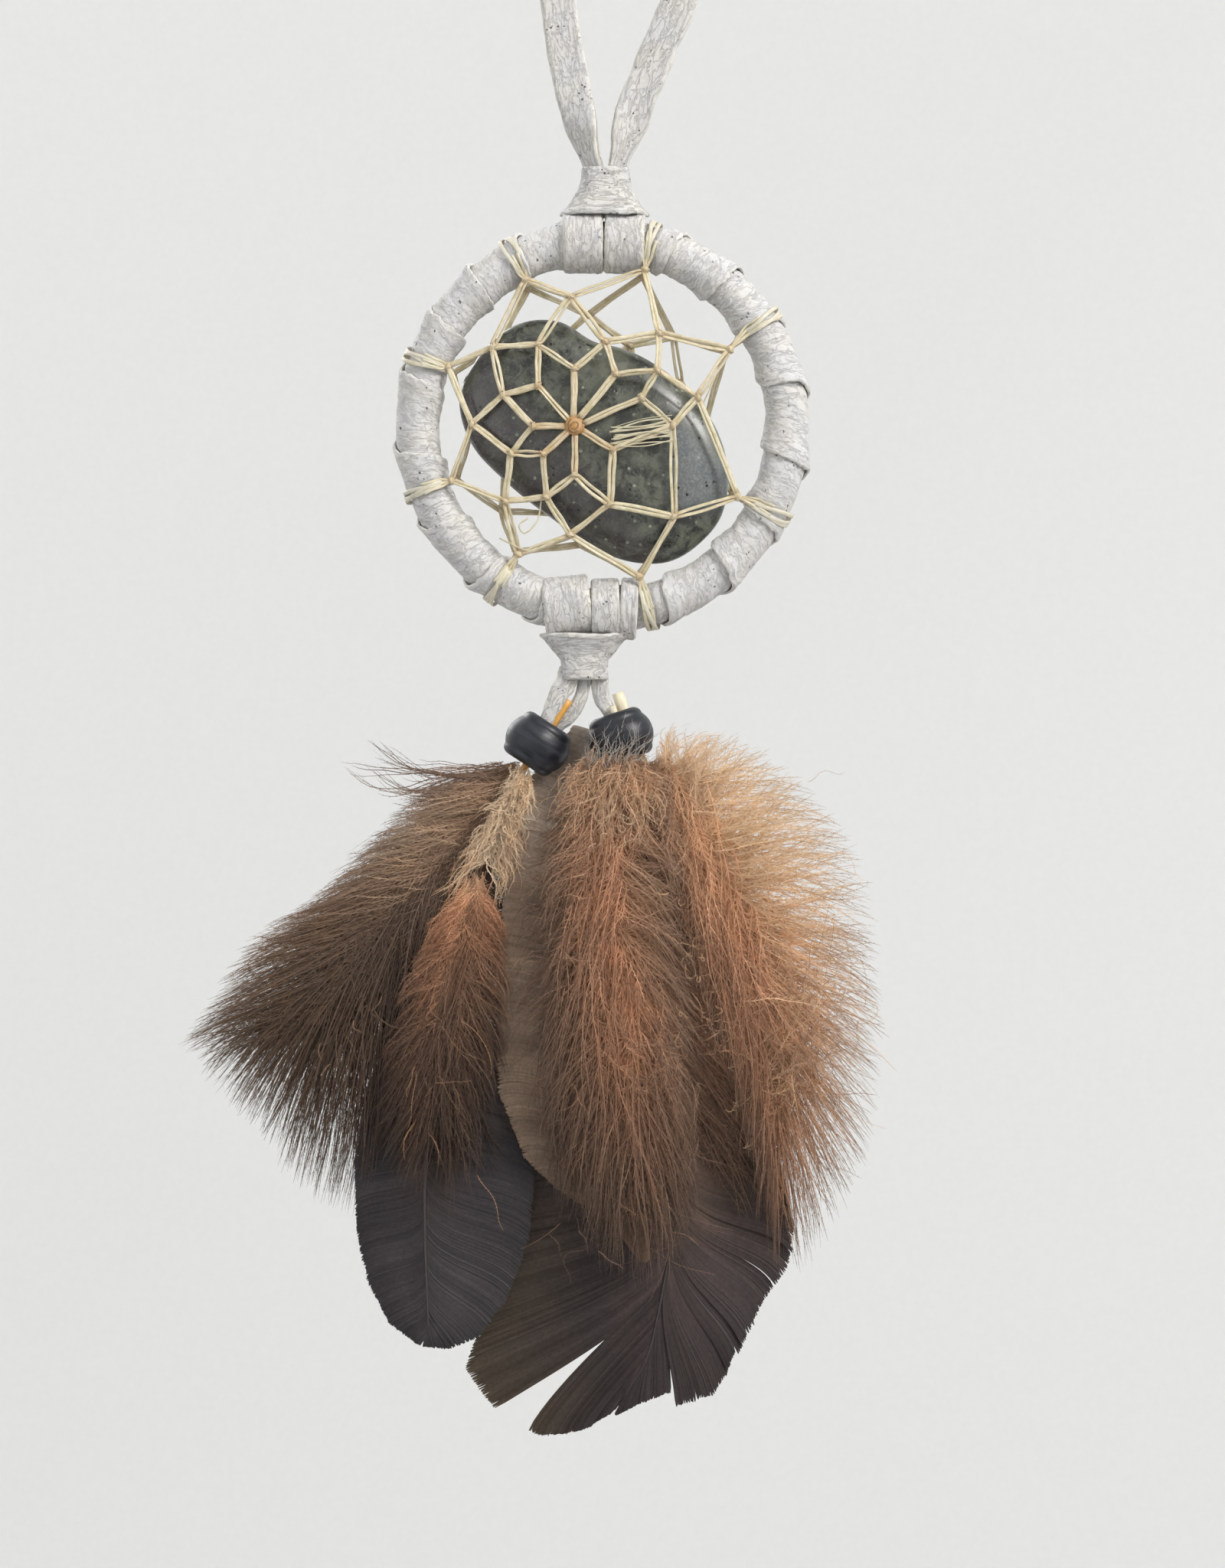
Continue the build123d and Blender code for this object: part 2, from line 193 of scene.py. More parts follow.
def end_caps(rows, columns):
    """One face over each open end of a swept tube."""
    return [np.arange(columns)[None, ::-1], (np.arange(columns) + (rows - 1) * columns)[None]]


def strip_section(width, thick, across=14):
    """A rounded strip's outline as (side, up) pairs, and for each how near it is to the cut edge."""
    radius = 0.35 * thick  # of the rounded edges
    u = np.linspace(-1, 1, across)
    half = width / 2 - radius
    top = np.stack([u * half, np.full(across, thick / 2)], 1)
    turns = np.linspace(math.pi / 2, -math.pi / 2, 6)[1:-1]
    right = np.stack([half + radius * np.cos(turns), (thick / 2) * np.sin(turns)], 1)
    outline = np.concatenate([top, right, top[::-1] * (1, -1), right[::-1] * (-1, 1)])
    edge = smooth(np.abs(outline[:, 0]) / (width / 2), 0.82, 1.0)
    return outline, edge


def curve_through(points, count):
    """A smooth line through given points: Catmull-Rom, evenly spaced."""
    p = np.asarray(points, float)
    p = np.concatenate([[2 * p[0] - p[1]], p, [2 * p[-1] - p[-2]]])
    t = np.linspace(0, 1, 24, endpoint=False)[:, None]
    runs = []
    for a, b, c, d in zip(p, p[1:], p[2:], p[3:]):
        runs.append(
            0.5 * (2 * b + (c - a) * t + (2 * a - 5 * b + 4 * c - d) * t**2 + (3 * b - a - 3 * c + d) * t**3)
        )
    dense = np.concatenate([*runs, p[-2:-1]])
    along = lengths_along(dense)
    return between(np.linspace(0, along[-1], count), along, dense)


def in_plane(points, y=0.0):
    """(x, z) pairs as 3-D points at depth y."""
    points = np.asarray(points, float)
    return np.stack([points[:, 0], np.zeros(len(points)) + y, points[:, 1]], 1)


# ---------------------------------------------------------------- materials
class Finish:
    """A procedural material, built node by node.  Sizes of patterns are in mm."""

    def __init__(self, name, **plain):
        self.material = bpy.data.materials.new(name)
        self.material.use_nodes = True
        self.tree = self.material.node_tree
        self.shader = self.tree.nodes["Principled BSDF"]
        self.output = self.tree.nodes["Material Output"]
        for socket, value in plain.items():
            self.shader.inputs[socket.replace("_", " ")].default_value = value

    def node(self, kind, *inputs, **settings):
        made = self.tree.nodes.new("ShaderNode" + kind)
        named = settings.pop("named", {})
        for key, value in settings.items():
            setattr(made, key, value)
        for key, value in [*enumerate(inputs), *named.items()]:
            if value is None:
                continue
            socket = made.inputs[key]
            if isinstance(value, bpy.types.NodeSocket):
                self.tree.links.new(value, socket)
            else:
                socket.default_value = value
        return made

    def place(self):
        """The point on the piece, in mm."""
        coords = self.node("TexCoord").outputs["Object"]
        return self.node("VectorMath", coords, (1 / MM,) * 3, operation="MULTIPLY").outputs[0]

    def value(self, name):
        return self.node("Attribute", attribute_name=name).outputs["Fac"]

    def vector(self, name):
        return self.node("Attribute", attribute_name=name).outputs["Vector"]

    def stretched(self, vector, scale):
        return self.node("VectorMath", vector, scale, operation="MULTIPLY").outputs[0]

    def noise(self, vector, size, detail=4.0, roughness=0.55, distortion=0.0):
        named = {"Vector": vector, "Scale": 1 / size, "Detail": detail, "Roughness": roughness,
                 "Distortion": distortion}
        return self.node("TexNoise", named=named).outputs["Fac"]

    def cells(self, vector, size, randomness=1.0):
        named = {"Vector": vector, "Scale": 1 / size, "Randomness": randomness}
        return self.node("TexVoronoi", named=named).outputs["Distance"]

    def math(self, operation, a, b=0.0):
        return self.node("Math", a, b, operation=operation).outputs[0]

    def ramp(self, value, low, high, out_low=0.0, out_high=1.0):
        named = {"Value": value, "From Min": low, "From Max": high, "To Min": out_low, "To Max": out_high}
        return self.node("MapRange", named=named, interpolation_type="SMOOTHSTEP").outputs[0]

    def mix(self, share, a, b, blend="MIX"):
        made = self.node("Mix", data_type="RGBA", blend_type=blend, clamp_factor=True)
        for key, value in ((0, share), (6, a), (7, b)):
            if isinstance(value, bpy.types.NodeSocket):
                self.tree.links.new(value, made.inputs[key])
            else:
                made.inputs[key].default_value = (*value, 1) if isinstance(value, tuple) else value
        return made.outputs[2]

    def tinted(self, colour, share, factors):
        """The colour, and by that share the colour times the factors."""
        return self.mix(share, colour, self.mix(1.0, colour, factors, "MULTIPLY"))

    def bump(self, height, distance, normal=None):
        """distance is the height in mm that the value 1 stands for."""
        named = {"Height": height, "Distance": distance * MM, "Strength": 1.0, "Normal": normal}
        return self.node("Bump", named=named).outputs[0]

    def connect(self, **sockets):
        for socket, value in sockets.items():
            self.tree.links.new(value, self.shader.inputs[socket.replace("_", " ")])
        return self

    def glow_through(self, colour, share):
        """Lets a share of the light through from behind, as a thin fibre does."""
        through = self.node("BsdfTranslucent")
        self.tree.links.new(colour, through.inputs["Color"])
        mixed = self.node("MixShader", share, self.shader.outputs[0], through.outputs[0])
        self.tree.links.new(mixed.outputs[0], self.output.inputs["Surface"])
        return self


def leather_finish(name, pale, warm, cool, edge_tint, pore_size, pore_share, wrinkle, roughness):
    """White hide: mottled, finely wrinkled, with painted shade in its creases and in clusters of pores, and
    paler cut edges.
    """
    f = Finish(name, Roughness=roughness, Sheen_Weight=0.12, Sheen_Roughness=0.5, IOR=1.45)
    grain = f.vector("grain")
    blotch = f.noise(grain, 5.0, detail=3)
    tint = f.mix(f.ramp(blotch, 0.38, 0.62), warm, cool)
    speckle = f.noise(grain, 0.5, detail=6, roughness=0.7)
    colour = f.mix(f.ramp(speckle, 0.35, 0.7), tint, pale)
    # pores: small pits, gathered in short rows
    pore_place = f.stretched(grain, (1.0, 0.8, 1.0))
    pores = f.cells(pore_place, pore_size, randomness=0.85)
    gathered = f.noise(grain, 2.6, detail=2, roughness=0.6)
    where = f.ramp(gathered, pore_share, pore_share + 0.05)
    pit = f.math("MULTIPLY", f.ramp(pores, 0.30, 0.17), where)
    # painted shade: the pore pits are darkened nearly to black
    colour = f.mix(f.math("MULTIPLY", pit, 0.9), colour, (0.035, 0.03, 0.03))
    # creases run roughly along the strip
    crease_place = f.stretched(grain, (0.5, 1.5, 1.0))
    crease = f.noise(crease_place, 1.3, detail=5, roughness=0.62, distortion=0.8)
    fold = f.ramp(f.math("ABSOLUTE", f.math("SUBTRACT", crease, 0.5)), 0.0, 0.05)
    # painted shade: the colour darkens towards grey along each crease line
    colour = f.mix(f.ramp(fold, 1.0, 0.0, 0.0, 0.22), colour, (0.42, 0.40, 0.40))
    cut = f.value("edge")
    colour = f.mix(f.math("MULTIPLY", cut, 0.65), colour, edge_tint)
    height = f.math("ADD", f.math("MULTIPLY", fold, 0.5), f.math("MULTIPLY", crease, 1.2))
    bump = f.bump(height, wrinkle)
    bump = f.bump(speckle, 0.06, normal=bump)
    bump = f.bump(pit, -0.12, normal=bump)
    roughness = f.ramp(speckle, 0.2, 0.8, roughness - 0.1, roughness + 0.12)
    f.connect(Base_Color=colour, Normal=bump, Roughness=roughness)
    return f.material


wrap_leather = leather_finish(
    "wrap_leather", (0.66, 0.65, 0.635), (0.60, 0.575, 0.535), (0.56, 0.555, 0.57), (0.70, 0.68, 0.62),
    pore_size=0.66, pore_share=0.57, wrinkle=0.10, roughness=0.62,
)
suede_lace = leather_finish(
    "suede_lace", (0.66, 0.65, 0.63), (0.59, 0.565, 0.52), (0.53, 0.52, 0.53), (0.74, 0.71, 0.63),
    pore_size=0.5, pore_share=0.58, wrinkle=0.13, roughness=0.78,
)


def sinew_finish():
    """Waxed thread: pale fibres side by side, amber where it is pulled into knots."""
    f = Finish("sinew", Roughness=0.38, Coat_Weight=0.25, Coat_Roughness=0.3, IOR=1.5)
    grain = f.vector("grain")
    streak = f.noise(f.stretched(grain, (0.12, 1.0, 1.0)), 0.11, detail=3)
    blotch = f.noise(grain, 1.6, detail=3)
    pale = f.mix(f.ramp(streak, 0.3, 0.7), (0.66, 0.57, 0.36), (0.93, 0.87, 0.68))
    pale = f.mix(f.ramp(blotch, 0.45, 0.7, 0.0, 0.5), pale, (0.50, 0.43, 0.20))
    deep = f.mix(f.ramp(streak, 0.3, 0.7), (0.36, 0.15, 0.03), (0.66, 0.36, 0.12))
    colour = f.mix(f.value("amber"), pale, deep)
    colour = f.mix(f.ramp(f.value("amber"), 0.0, -0.5), colour, (0.76, 0.73, 0.64))
    f.connect(Base_Color=colour, Normal=f.bump(streak, 0.07))
    return f.glow_through(colour, 0.18).material


sinew = sinew_finish()


def stone_finish():
    """A tumbled stone: dark grey-green, cloudy, with pale specks and fine veins under the polish, painted
    shade in its pits and a painted blue-grey sheen on its right.
    """
    f = Finish("tumbled_stone", Roughness=0.36, IOR=1.5, Coat_Weight=0.4, Coat_Roughness=0.16)
    at = f.place()
    cloud = f.noise(at, 9.0, detail=4, distortion=0.6)
    mottle = f.noise(at, 2.2, detail=8, roughness=0.68, distortion=0.4)
    fine = f.noise(at, 0.35, detail=4, roughness=0.7)
    colour = f.mix(f.ramp(mottle, 0.40, 0.60), (0.016, 0.017, 0.014), (0.10, 0.105, 0.078))
    colour = f.mix(f.ramp(fine, 0.55, 0.75, 0.0, 0.5), colour, (0.20, 0.21, 0.16))
    # painted sheen: a broad blue-grey reflection, laid on the stone's right side as colour
    painted_sheen = f.mix(f.ramp(fine, 0.35, 0.7), (0.10, 0.115, 0.12), (0.20, 0.215, 0.22))
    purple = f.mix(f.ramp(fine, 0.35, 0.7), (0.035, 0.030, 0.032), (0.075, 0.062, 0.062))
    colour = f.mix(f.ramp(f.value("region"), 0.55, 0.95, 0.0, 0.75), colour, painted_sheen)
    colour = f.mix(f.ramp(f.value("region"), 0.42, 0.12, 0.0, 0.7), colour, purple)
    colour = f.mix(f.ramp(cloud, 0.52, 0.68, 0.0, 0.5), colour, (0.11, 0.115, 0.075))
    vein = f.math("ABSOLUTE", f.math("SUBTRACT", f.noise(at, 5.0, detail=3, distortion=1.4), 0.5))
    colour = f.mix(f.ramp(vein, 0.012, 0.0, 0.0, 0.35), colour, (0.20, 0.21, 0.17))
    dots = f.cells(at, 1.25)
    gathered = f.ramp(f.noise(at, 3.5, detail=2), 0.50, 0.62)
    colour = f.mix(f.math("MULTIPLY", f.ramp(dots, 0.24, 0.14), gathered), colour, (0.24, 0.26, 0.19))
    pits = f.cells(f.node("VectorMath", at, (7.0, 3.0, 5.0), operation="ADD").outputs[0], 1.0)
    gathered = f.ramp(f.noise(at, 4.0, detail=2, distortion=0.5), 0.54, 0.62)
    pit = f.math("MULTIPLY", f.ramp(pits, 0.26, 0.16), gathered)
    # painted shade: the pits are darkened nearly to black
    colour = f.mix(pit, colour, (0.006, 0.006, 0.006))
    bump = f.bump(f.math("MULTIPLY", pit, -1.0), 0.08)
    bump = f.bump(mottle, 0.05, normal=bump)
    f.connect(Base_Color=colour, Normal=bump, Roughness=f.ramp(mottle, 0.3, 0.7, 0.28, 0.45))
    return f.material


tumbled_stone = stone_finish()


def bead_finish():
    """Black moulded plastic with a satin face, faint flow lines with painted highlights along them, and
    handling scuffs.
    """
    f = Finish("black_bead", Roughness=0.42, IOR=1.45, Coat_Weight=0.12, Coat_Roughness=0.2)
    grain = f.vector("grain")
    flow = f.noise(f.stretched(grain, (0.15, 1.0, 1.0)), 0.55, detail=4)
    dust = f.noise(f.place(), 0.22, detail=5, roughness=0.75)
    # painted highlight: lighter, bluer bands run round the bead along the flow lines
    colour = f.mix(f.ramp(flow, 0.35, 0.7), (0.006, 0.007, 0.010), (0.018, 0.021, 0.030))
    colour = f.mix(f.ramp(dust, 0.66, 0.78, 0.0, 0.35), colour, (0.09, 0.09, 0.09))
    bump = f.bump(dust, 0.012, normal=f.bump(flow, 0.05))
    f.connect(Base_Color=colour, Normal=bump, Roughness=f.ramp(flow, 0.3, 0.7, 0.38, 0.52))
    return f.material


black_bead = bead_finish()


def quill_finish(name, root, tip):
    """A feather's shaft: horny and half clear, darker towards its tip, lightly scratched along, with painted
    highlights on the scratches.
    """
    f = Finish(name, Roughness=0.35, IOR=1.54, Coat_Weight=0.3, Coat_Roughness=0.25)
    grain = f.vector("grain")
    streak = f.noise(f.stretched(grain, (0.08, 1.0, 1.0)), 0.2, detail=3)
    colour = f.mix(f.ramp(f.value("along"), 0.15, 0.6), root, tip)
    # painted highlights: the colour is lighter along the streaks, whose relief is in the bump
    colour = f.tinted(colour, f.ramp(streak, 0.35, 0.7, 0.0, 0.6), (1.35, 1.3, 1.2))
    f.connect(Base_Color=colour, Normal=f.bump(streak, 0.03))
    return f.glow_through(colour, 0.2).material


cream_quill = quill_finish("cream_quill", (0.78, 0.72, 0.56), (0.35, 0.24, 0.15))
amber_quill = quill_finish("amber_quill", (0.72, 0.38, 0.08), (0.045, 0.035, 0.03))
dark_quill = quill_finish("dark_quill", (0.16, 0.11, 0.07), (0.03, 0.022, 0.02))


def feather_finish(name, roughness, sheen, through):
    """Barbs, coloured strand by strand, with finer flecks along each."""
    f = Finish(name, Roughness=roughness, Sheen_Weight=sheen, Sheen_Roughness=0.45, IOR=1.4)
    f.shader.inputs["Specular IOR Level"].default_value = 0.35
    at = f.place()
    fleck = f.noise(at, 0.45, detail=3, roughness=0.6)
    drift = f.noise(at, 4.5, detail=3)
    colour = f.vector("colour")
    colour = f.tinted(colour, f.ramp(fleck, 0.3, 0.7, 0.55, 0.0), (0.62, 0.58, 0.55))
    colour = f.tinted(colour, f.ramp(drift, 0.45, 0.7, 0.0, 0.5), (1.25, 1.18, 1.08))
    f.connect(Base_Color=colour)
    return f.glow_through(colour, through).material


down_barbs = feather_finish("down_barbs", 0.7, 0.25, 0.34)
vane_barbs = feather_finish("vane_barbs", 0.42, 0.1, 0.1)


def wire_finish():
    """The hoop inside the leather: plated wire with drawing marks."""
    f = Finish("hoop_wire", Metallic=1.0, Roughness=0.4)
    at = f.place()
    marks = f.noise(f.stretched(at, (1.0, 6.0, 1.0)), 1.2, detail=4)
    colour = f.mix(f.ramp(marks, 0.3, 0.7), (0.45, 0.44, 0.42), (0.62, 0.61, 0.58))
    f.connect(Base_Color=colour, Roughness=f.ramp(marks, 0.3, 0.7, 0.3, 0.5), Normal=f.bump(marks, 0.02))
    return f.material


def use_finish(node, material):
    """A CAD node keeps its shape and gets a better material."""
    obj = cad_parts[node]
    obj.data.materials.clear()
    obj.data.materials.append(material)


hoop_wire = wire_finish()
use_finish("hoop_core_ring", hoop_wire)


# ---------------------------------------------------------------- stage, lights and camera
def studio():
    """A pale round room, so that the background is plain from every side, lit softly from the upper right."""
    room_radius, floor_z, wall_top, corner = 2.4, -1.3, 2.6, 0.6
    turns = np.linspace(0, math.pi / 2, 9)
    profile = [(0.001, floor_z), (room_radius - corner, floor_z)]
    profile += [
        (room_radius - corner + corner * math.sin(a), floor_z + corner * (1 - math.cos(a))) for a in turns
    ]
    profile.append((room_radius, wall_top))
    sides = 96  # round enough for its smooth shading
    around = np.linspace(0, TAU, sides, endpoint=False)
    points = np.array([[(r * math.cos(a), r * math.sin(a), z) for a in around] for r, z in profile])
    mesh = bpy.data.meshes.new("studio_room")
    faces = grid_faces(len(profile), sides, close_columns=True)
    mesh.from_pydata(points.reshape(-1, 3).tolist(), [], faces.tolist())
    mesh.polygons.foreach_set("use_smooth", np.full(len(mesh.polygons), True))
    f = Finish("studio_paint", Roughness=0.9)
    f.shader.inputs["Specular IOR Level"].default_value = 0.1
    speckle = f.noise(f.place(), 4.0, detail=4)
    f.connect(Base_Color=f.mix(f.ramp(speckle, 0.3, 0.7), (0.885, 0.885, 0.88), (0.90, 0.90, 0.895)))
    mesh.materials.append(f.material)
    room = bpy.data.objects.new("studio_room", mesh)
    bpy.context.scene.collection.objects.link(room)

    world = bpy.data.worlds.new("studio_world")
    world.use_nodes = True
    world.node_tree.nodes["Background"].inputs["Color"].default_value = (0.98, 0.99, 1.0, 1)
    world.node_tree.nodes["Background"].inputs["Strength"].default_value = 1.0
    bpy.context.scene.world = world

    target = Vector(row((0, 0, -45)))
    for name, place, size, power, tint in (
        ("key", (1.15, -0.95, 0.95), 0.8, 27.0, (1.0, 0.985, 0.96)),
        ("fill", (-1.3, -1.2, 0.1), 1.4, 3.0, (0.95, 0.97, 1.0)),
        ("back_left", (-0.9, 1.3, 0.8), 1.1, 12.0, (1.0, 1.0, 1.0)),
    ):
        lamp = bpy.data.lights.new(name, "AREA")
        lamp.shape, lamp.size, lamp.energy, lamp.color = "DISK", size, power, tint
        light = bpy.data.objects.new(name, lamp)
        light.location = target + Vector(place)
        light.rotation_euler = (target - light.location).to_track_quat("-Z", "Y").to_euler()
        bpy.context.scene.collection.objects.link(light)


def camera():
    """Straight at the front, framed as a tall picture of the hoop and its pendants."""
    distance, frame_height = 0.75, 0.2156
    frame_centre = row((1.37, 0, -49.26))
    data = bpy.data.cameras.new("camera")
    data.lens = data.sensor_width * distance / frame_height
    data.clip_start, data.clip_end = 0.01, 20
    cam = bpy.data.objects.new("camera", data)
    cam.location = frame_centre - np.array((0, distance, 0))
    cam.rotation_euler = (math.pi / 2, 0, 0)
    bpy.context.scene.collection.objects.link(cam)
    bpy.context.scene.camera = cam
    bpy.context.scene.view_settings.view_transform = "Standard"


studio()
camera()

# ---------------------------------------------------------------- hanging loop, a flat lace
loop_hinge_z = 37.2  # the lace bends just above the top collar
loop_route = [
    (-1.7, loop_hinge_z - 0.4),
    (-3.4, 43.0),
    (-5.0, 50.5),
    (-6.4, 59.5),
    (-6.6, 69.0),
    (-4.4, 78.0),
    (0.6, 84.8),
    (7.4, 85.2),
    (12.2, 79.4),
    (13.6, 70.0),
    (11.1, 59.4),
    (6.9, 50.0),
    (4.1, 43.0),
    (2.3, loop_hinge_z - 0.4),
]
left_leg_in_collar = [(-1.0, 33.2), (-1.05, 35.4)]
right_leg_in_collar = [(2.05, 35.4), (1.95, 33.2)]
lace_width, lace_thick = 5.0, 1.3


def smooth_route(points):
    """The points of the smooth line that a cord's control points give, in the row frame."""
    curve = bpy.data.curves.new("route", "CURVE")
    curve.dimensions = "3D"
    spline = curve.splines.new("NURBS")
    spline.points.add(len(points) - 1)
    for point, place in zip(spline.points, row(points)):
        point.co = (*place, 1)
    spline.order_u = 3
    spline.use_endpoint_u = True
    spline.resolution_u = 10
    holder = bpy.data.objects.new("route", curve)
    line = bpy.data.meshes.new_from_object(holder)
    places = np.array([v.co for v in line.vertices], float)
    bpy.data.objects.remove(holder)
    bpy.data.curves.remove(curve)
    bpy.data.meshes.remove(line)
    return places


def hanging_loop():
    places = smooth_route(in_plane([*left_leg_in_collar, *loop_route, *right_leg_in_collar]))
    path = (places - hoop_centre) / MM
    along = lengths_along(path)
    # The legs are cupped where they enter the collar, and the lace lies flat over its hook at the top.
    cupped = math.radians(50)
    over_hook = smooth(path[:, 2], 61, 80)
    twist = cupped * smooth(path[:, 2], 47, 36.5)
    twist = twist + over_hook * (math.pi / 2)
    section, edge = strip_section(lace_width, lace_thick)
    points = sweep_section(path, (0, -1, 0), section, twist)
    # unevenly cut edges and a soft wave through the hide
    columns = len(section)
    grain = np.zeros(points.shape)
    grain[..., 0] = along[:, None]
    grain[..., 1] = section[None, :, 0]
    grain[..., 2] = 4 * np.sign(section[None, :, 1])
    middle = path[:, None]
    side = np.sign(section[None, :, 0])
    ragged = ripple(as_vectors(along[:, None] / 4, side * 9, 0.0), 1.0, 3)
    swell = ripple(grain * (1, 1, 0.1), 5.0, 5)
    squeezed = 1 - 0.28 * smooth(path[:, 2], 41, 35.6)[:, None]
    spread = squeezed * (1 + 0.055 * ragged * edge[None] + 0.05 * swell)
    points = middle + (points - middle) * spread[..., None]
    shape = Shape()
    faces = [grid_faces(len(path), columns, close_columns=True), *end_caps(len(path), columns)]
    shape.add(points, faces, grain=grain, edge=np.broadcast_to(edge, points.shape[:2]))
    lace = shape.piece("hanging_loop_lace", suede_lace, slot="suede_lace", replaces=["hanging_loop"])
    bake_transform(lace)
    print("hanging loop", round(along[-1], 1), "mm")


hanging_loop()

# ---------------------------------------------------------------- hoop: leather wound over the ring
def around_ring(degrees, radius=0.0, turn=0.0):
    """Points on a tube round the ring's centre line: turn 0 is outermost, a quarter turn frontmost."""
    angle = np.radians(degrees)
    reach = hoop_radius + radius * np.cos(turn)
    return as_vectors(reach * np.cos(angle), -radius * np.sin(turn), reach * np.sin(angle))


# Where the strip's upper edge crosses the front of the ring, turn by turn, in degrees anticlockwise.
seam_angles = [
    84, 99, 115.5, 131, 147, 166.5, 189, 212, 232, 252, 271, 290, 310.5, 329, 350, 373, 392, 410, 428, 444,
]
hitch_angles = [118, 75, 33, -27, -76, 237, 200, 160]  # where the sinew goes round the ring
strip_thick = 0.46


def leather_wrap():
    per_turn, last_turn = 72, 18.7
    turns = np.linspace(0, last_turn, int(per_turn * last_turn))
    phase = math.pi / 2 + TAU * turns
    seam_at = np.interp(turns, np.arange(len(seam_angles)), seam_angles)
    seam_at = np.convolve(np.pad(seam_at, 12, mode="edge"), np.ones(25) / 25, mode="valid")
    pitch = np.interp(turns + 1, turns, seam_at) - seam_at
    pitch = np.where(turns > last_turn - 1, 17.0, pitch)
    seam_at = seam_at + 2.4 * np.cos(phase)  # the seams slant less on the front than on the back
    # across the strip: the underside, the raised cut edge, the face, and the part under the next turn
    edge_u = np.array([0.16, 0.05, 0.0, -0.012, -0.012, 0.004, 0.025])
    edge_h = np.array([0.0, 0.0, 0.02, 0.14, 0.32, 0.43, strip_thick])
    face_u = np.linspace(0.05, 1.0, 26)
    under_u = np.array([1.03, 1.08, 1.25])
    u = np.concatenate([edge_u, face_u, under_u])
    height = np.concatenate([edge_h, strip_thick * (1 - smooth(face_u, 0.0, 0.5)), [-0.12, -0.3, -0.34]])
    is_edge = np.concatenate([[0, 0, 1, 1, 1, 0.6, 0.2], np.zeros(len(face_u) + 3)])
    lip = smooth(-u, -0.22, 0.0) * (u < 0.3)
    shape_of = (len(turns), len(u))
    along = turns * TAU * wrap_radius
    across = u[None] * pitch[:, None] * math.radians(hoop_radius)
    grain = as_vectors(along[:, None], across, 0.0)
    wander = ripple(np.stack([along / 3.2, 0 * along, 0 * along], 1), 1.0, 11, 4)
    lift = np.clip(ripple(np.stack([along / 5.5, 0 * along, 0 * along], 1), 1.0, 12, 3) + 0.12, 0, 1)
    degrees = seam_at[:, None] + (u + 0.05 * wander[:, None] * np.clip(1 - u, 0, 1)) * pitch[:, None]
    swell = ripple(grain, 6.0, 13, 2)
    crease = ripple(grain * (0.6, 1.4, 1.0), 1.7, 14, 4)
    shown = smooth(u, 1.1, 1.0)[None]
    underside = 2.98  # the strip's radius about the ring's centre line
    radius = underside + height[None] + shown * (0.16 * swell + 0.11 * crease)
    radius = radius + 0.34 * lift[:, None] * lip[None] + 0.05 * lip[None]
    for hitch in hitch_angles:
        gap = (degrees - hitch + 180) % 360 - 180
        radius = radius - 0.3 * np.exp(-((gap / 1.5) ** 2))
    points = around_ring(degrees, radius, np.broadcast_to(phase[:, None], shape_of))
    shape = Shape()
    shape.add(points, grid_faces(*shape_of), grain=grain, edge=np.broadcast_to(is_edge, shape_of))
    shape.piece("hoop_leather_strip", wrap_leather, "hoop", "wrap_leather", ["hoop_leather_wrap"])


leather_wrap()


def lace_turn(name, x, z, width, tilt, seed):
    """A lace wound once round the wrapped ring.  tilt is its lean from upright, in degrees."""
    radius, thick = wrap_radius + 0.5, 0.95
    lean = math.radians(tilt)
    radial = np.array((-math.sin(lean), 0, math.cos(lean)))
    sideways = np.array((math.cos(lean), 0, math.sin(lean)))
    section, edge = strip_section(width, thick, across=20)
    turn = np.linspace(0, TAU, 80, endpoint=False)
    outward = np.cos(turn)[:, None] * radial + np.sin(turn)[:, None] * np.array((0, -1, 0))
    grain = np.zeros((80, len(section), 3))
    grain[..., 0] = (turn * radius)[:, None] + 31 * seed
    grain[..., 1] = section[None, :, 0]
    grain[..., 2] = 4 * (section[None, :, 1] < 0)
    swell = ripple(grain * (1, 1, 0.2), 3.2, seed, 3)
    rough = ripple(grain * (0.7, 1.5, 0.2), 0.9, seed + 3, 4)
    side = np.sign(section[None, :, 0])
    ragged = ripple(as_vectors(turn[:, None] * 1.6, side * 7, 0.0), 1.0, seed + 5, 3)
    sideways_at = section[None, :, 0] * (1 + 0.05 * ragged * edge[None])
    outer = section[None, :, 1] > 0
    up_at = radius + section[None, :, 1] + outer * (0.10 * swell + 0.09 * rough) - 0.12 * edge[None] * outer
    points = np.array((x, 0, z)) + up_at[..., None] * outward[:, None] + sideways_at[..., None] * sideways
    shape = Shape()
    faces = grid_faces(len(points), len(section), True, True)
    shape.add(points, faces, grain=grain, edge=np.broadcast_to(edge, points.shape[:2]))
    shape.piece(f"{name}_hide", suede_lace, "hoop", "suede_lace", [name])


for turn_name, turn_x, turn_z, turn_width, turn_tilt in (
    ("top_lace_turn_left", -2.65, 25.2, 5.55, 0.6),
    ("top_lace_turn_right", 3.0, 25.15, 5.5, -1.6),
    ("bottom_lace_turn_left", -4.85, -24.95, 6.5, 6.5),
    ("bottom_lace_turn_middle", 0.45, -25.3, 3.95, 2.0),
    ("bottom_lace_turn_right", 3.6, -25.15, 2.5, -3.5),
):
    lace_turn(turn_name, turn_x, turn_z, turn_width, turn_tilt, seed=round(turn_x * 3 + turn_z) % 40 + 2)


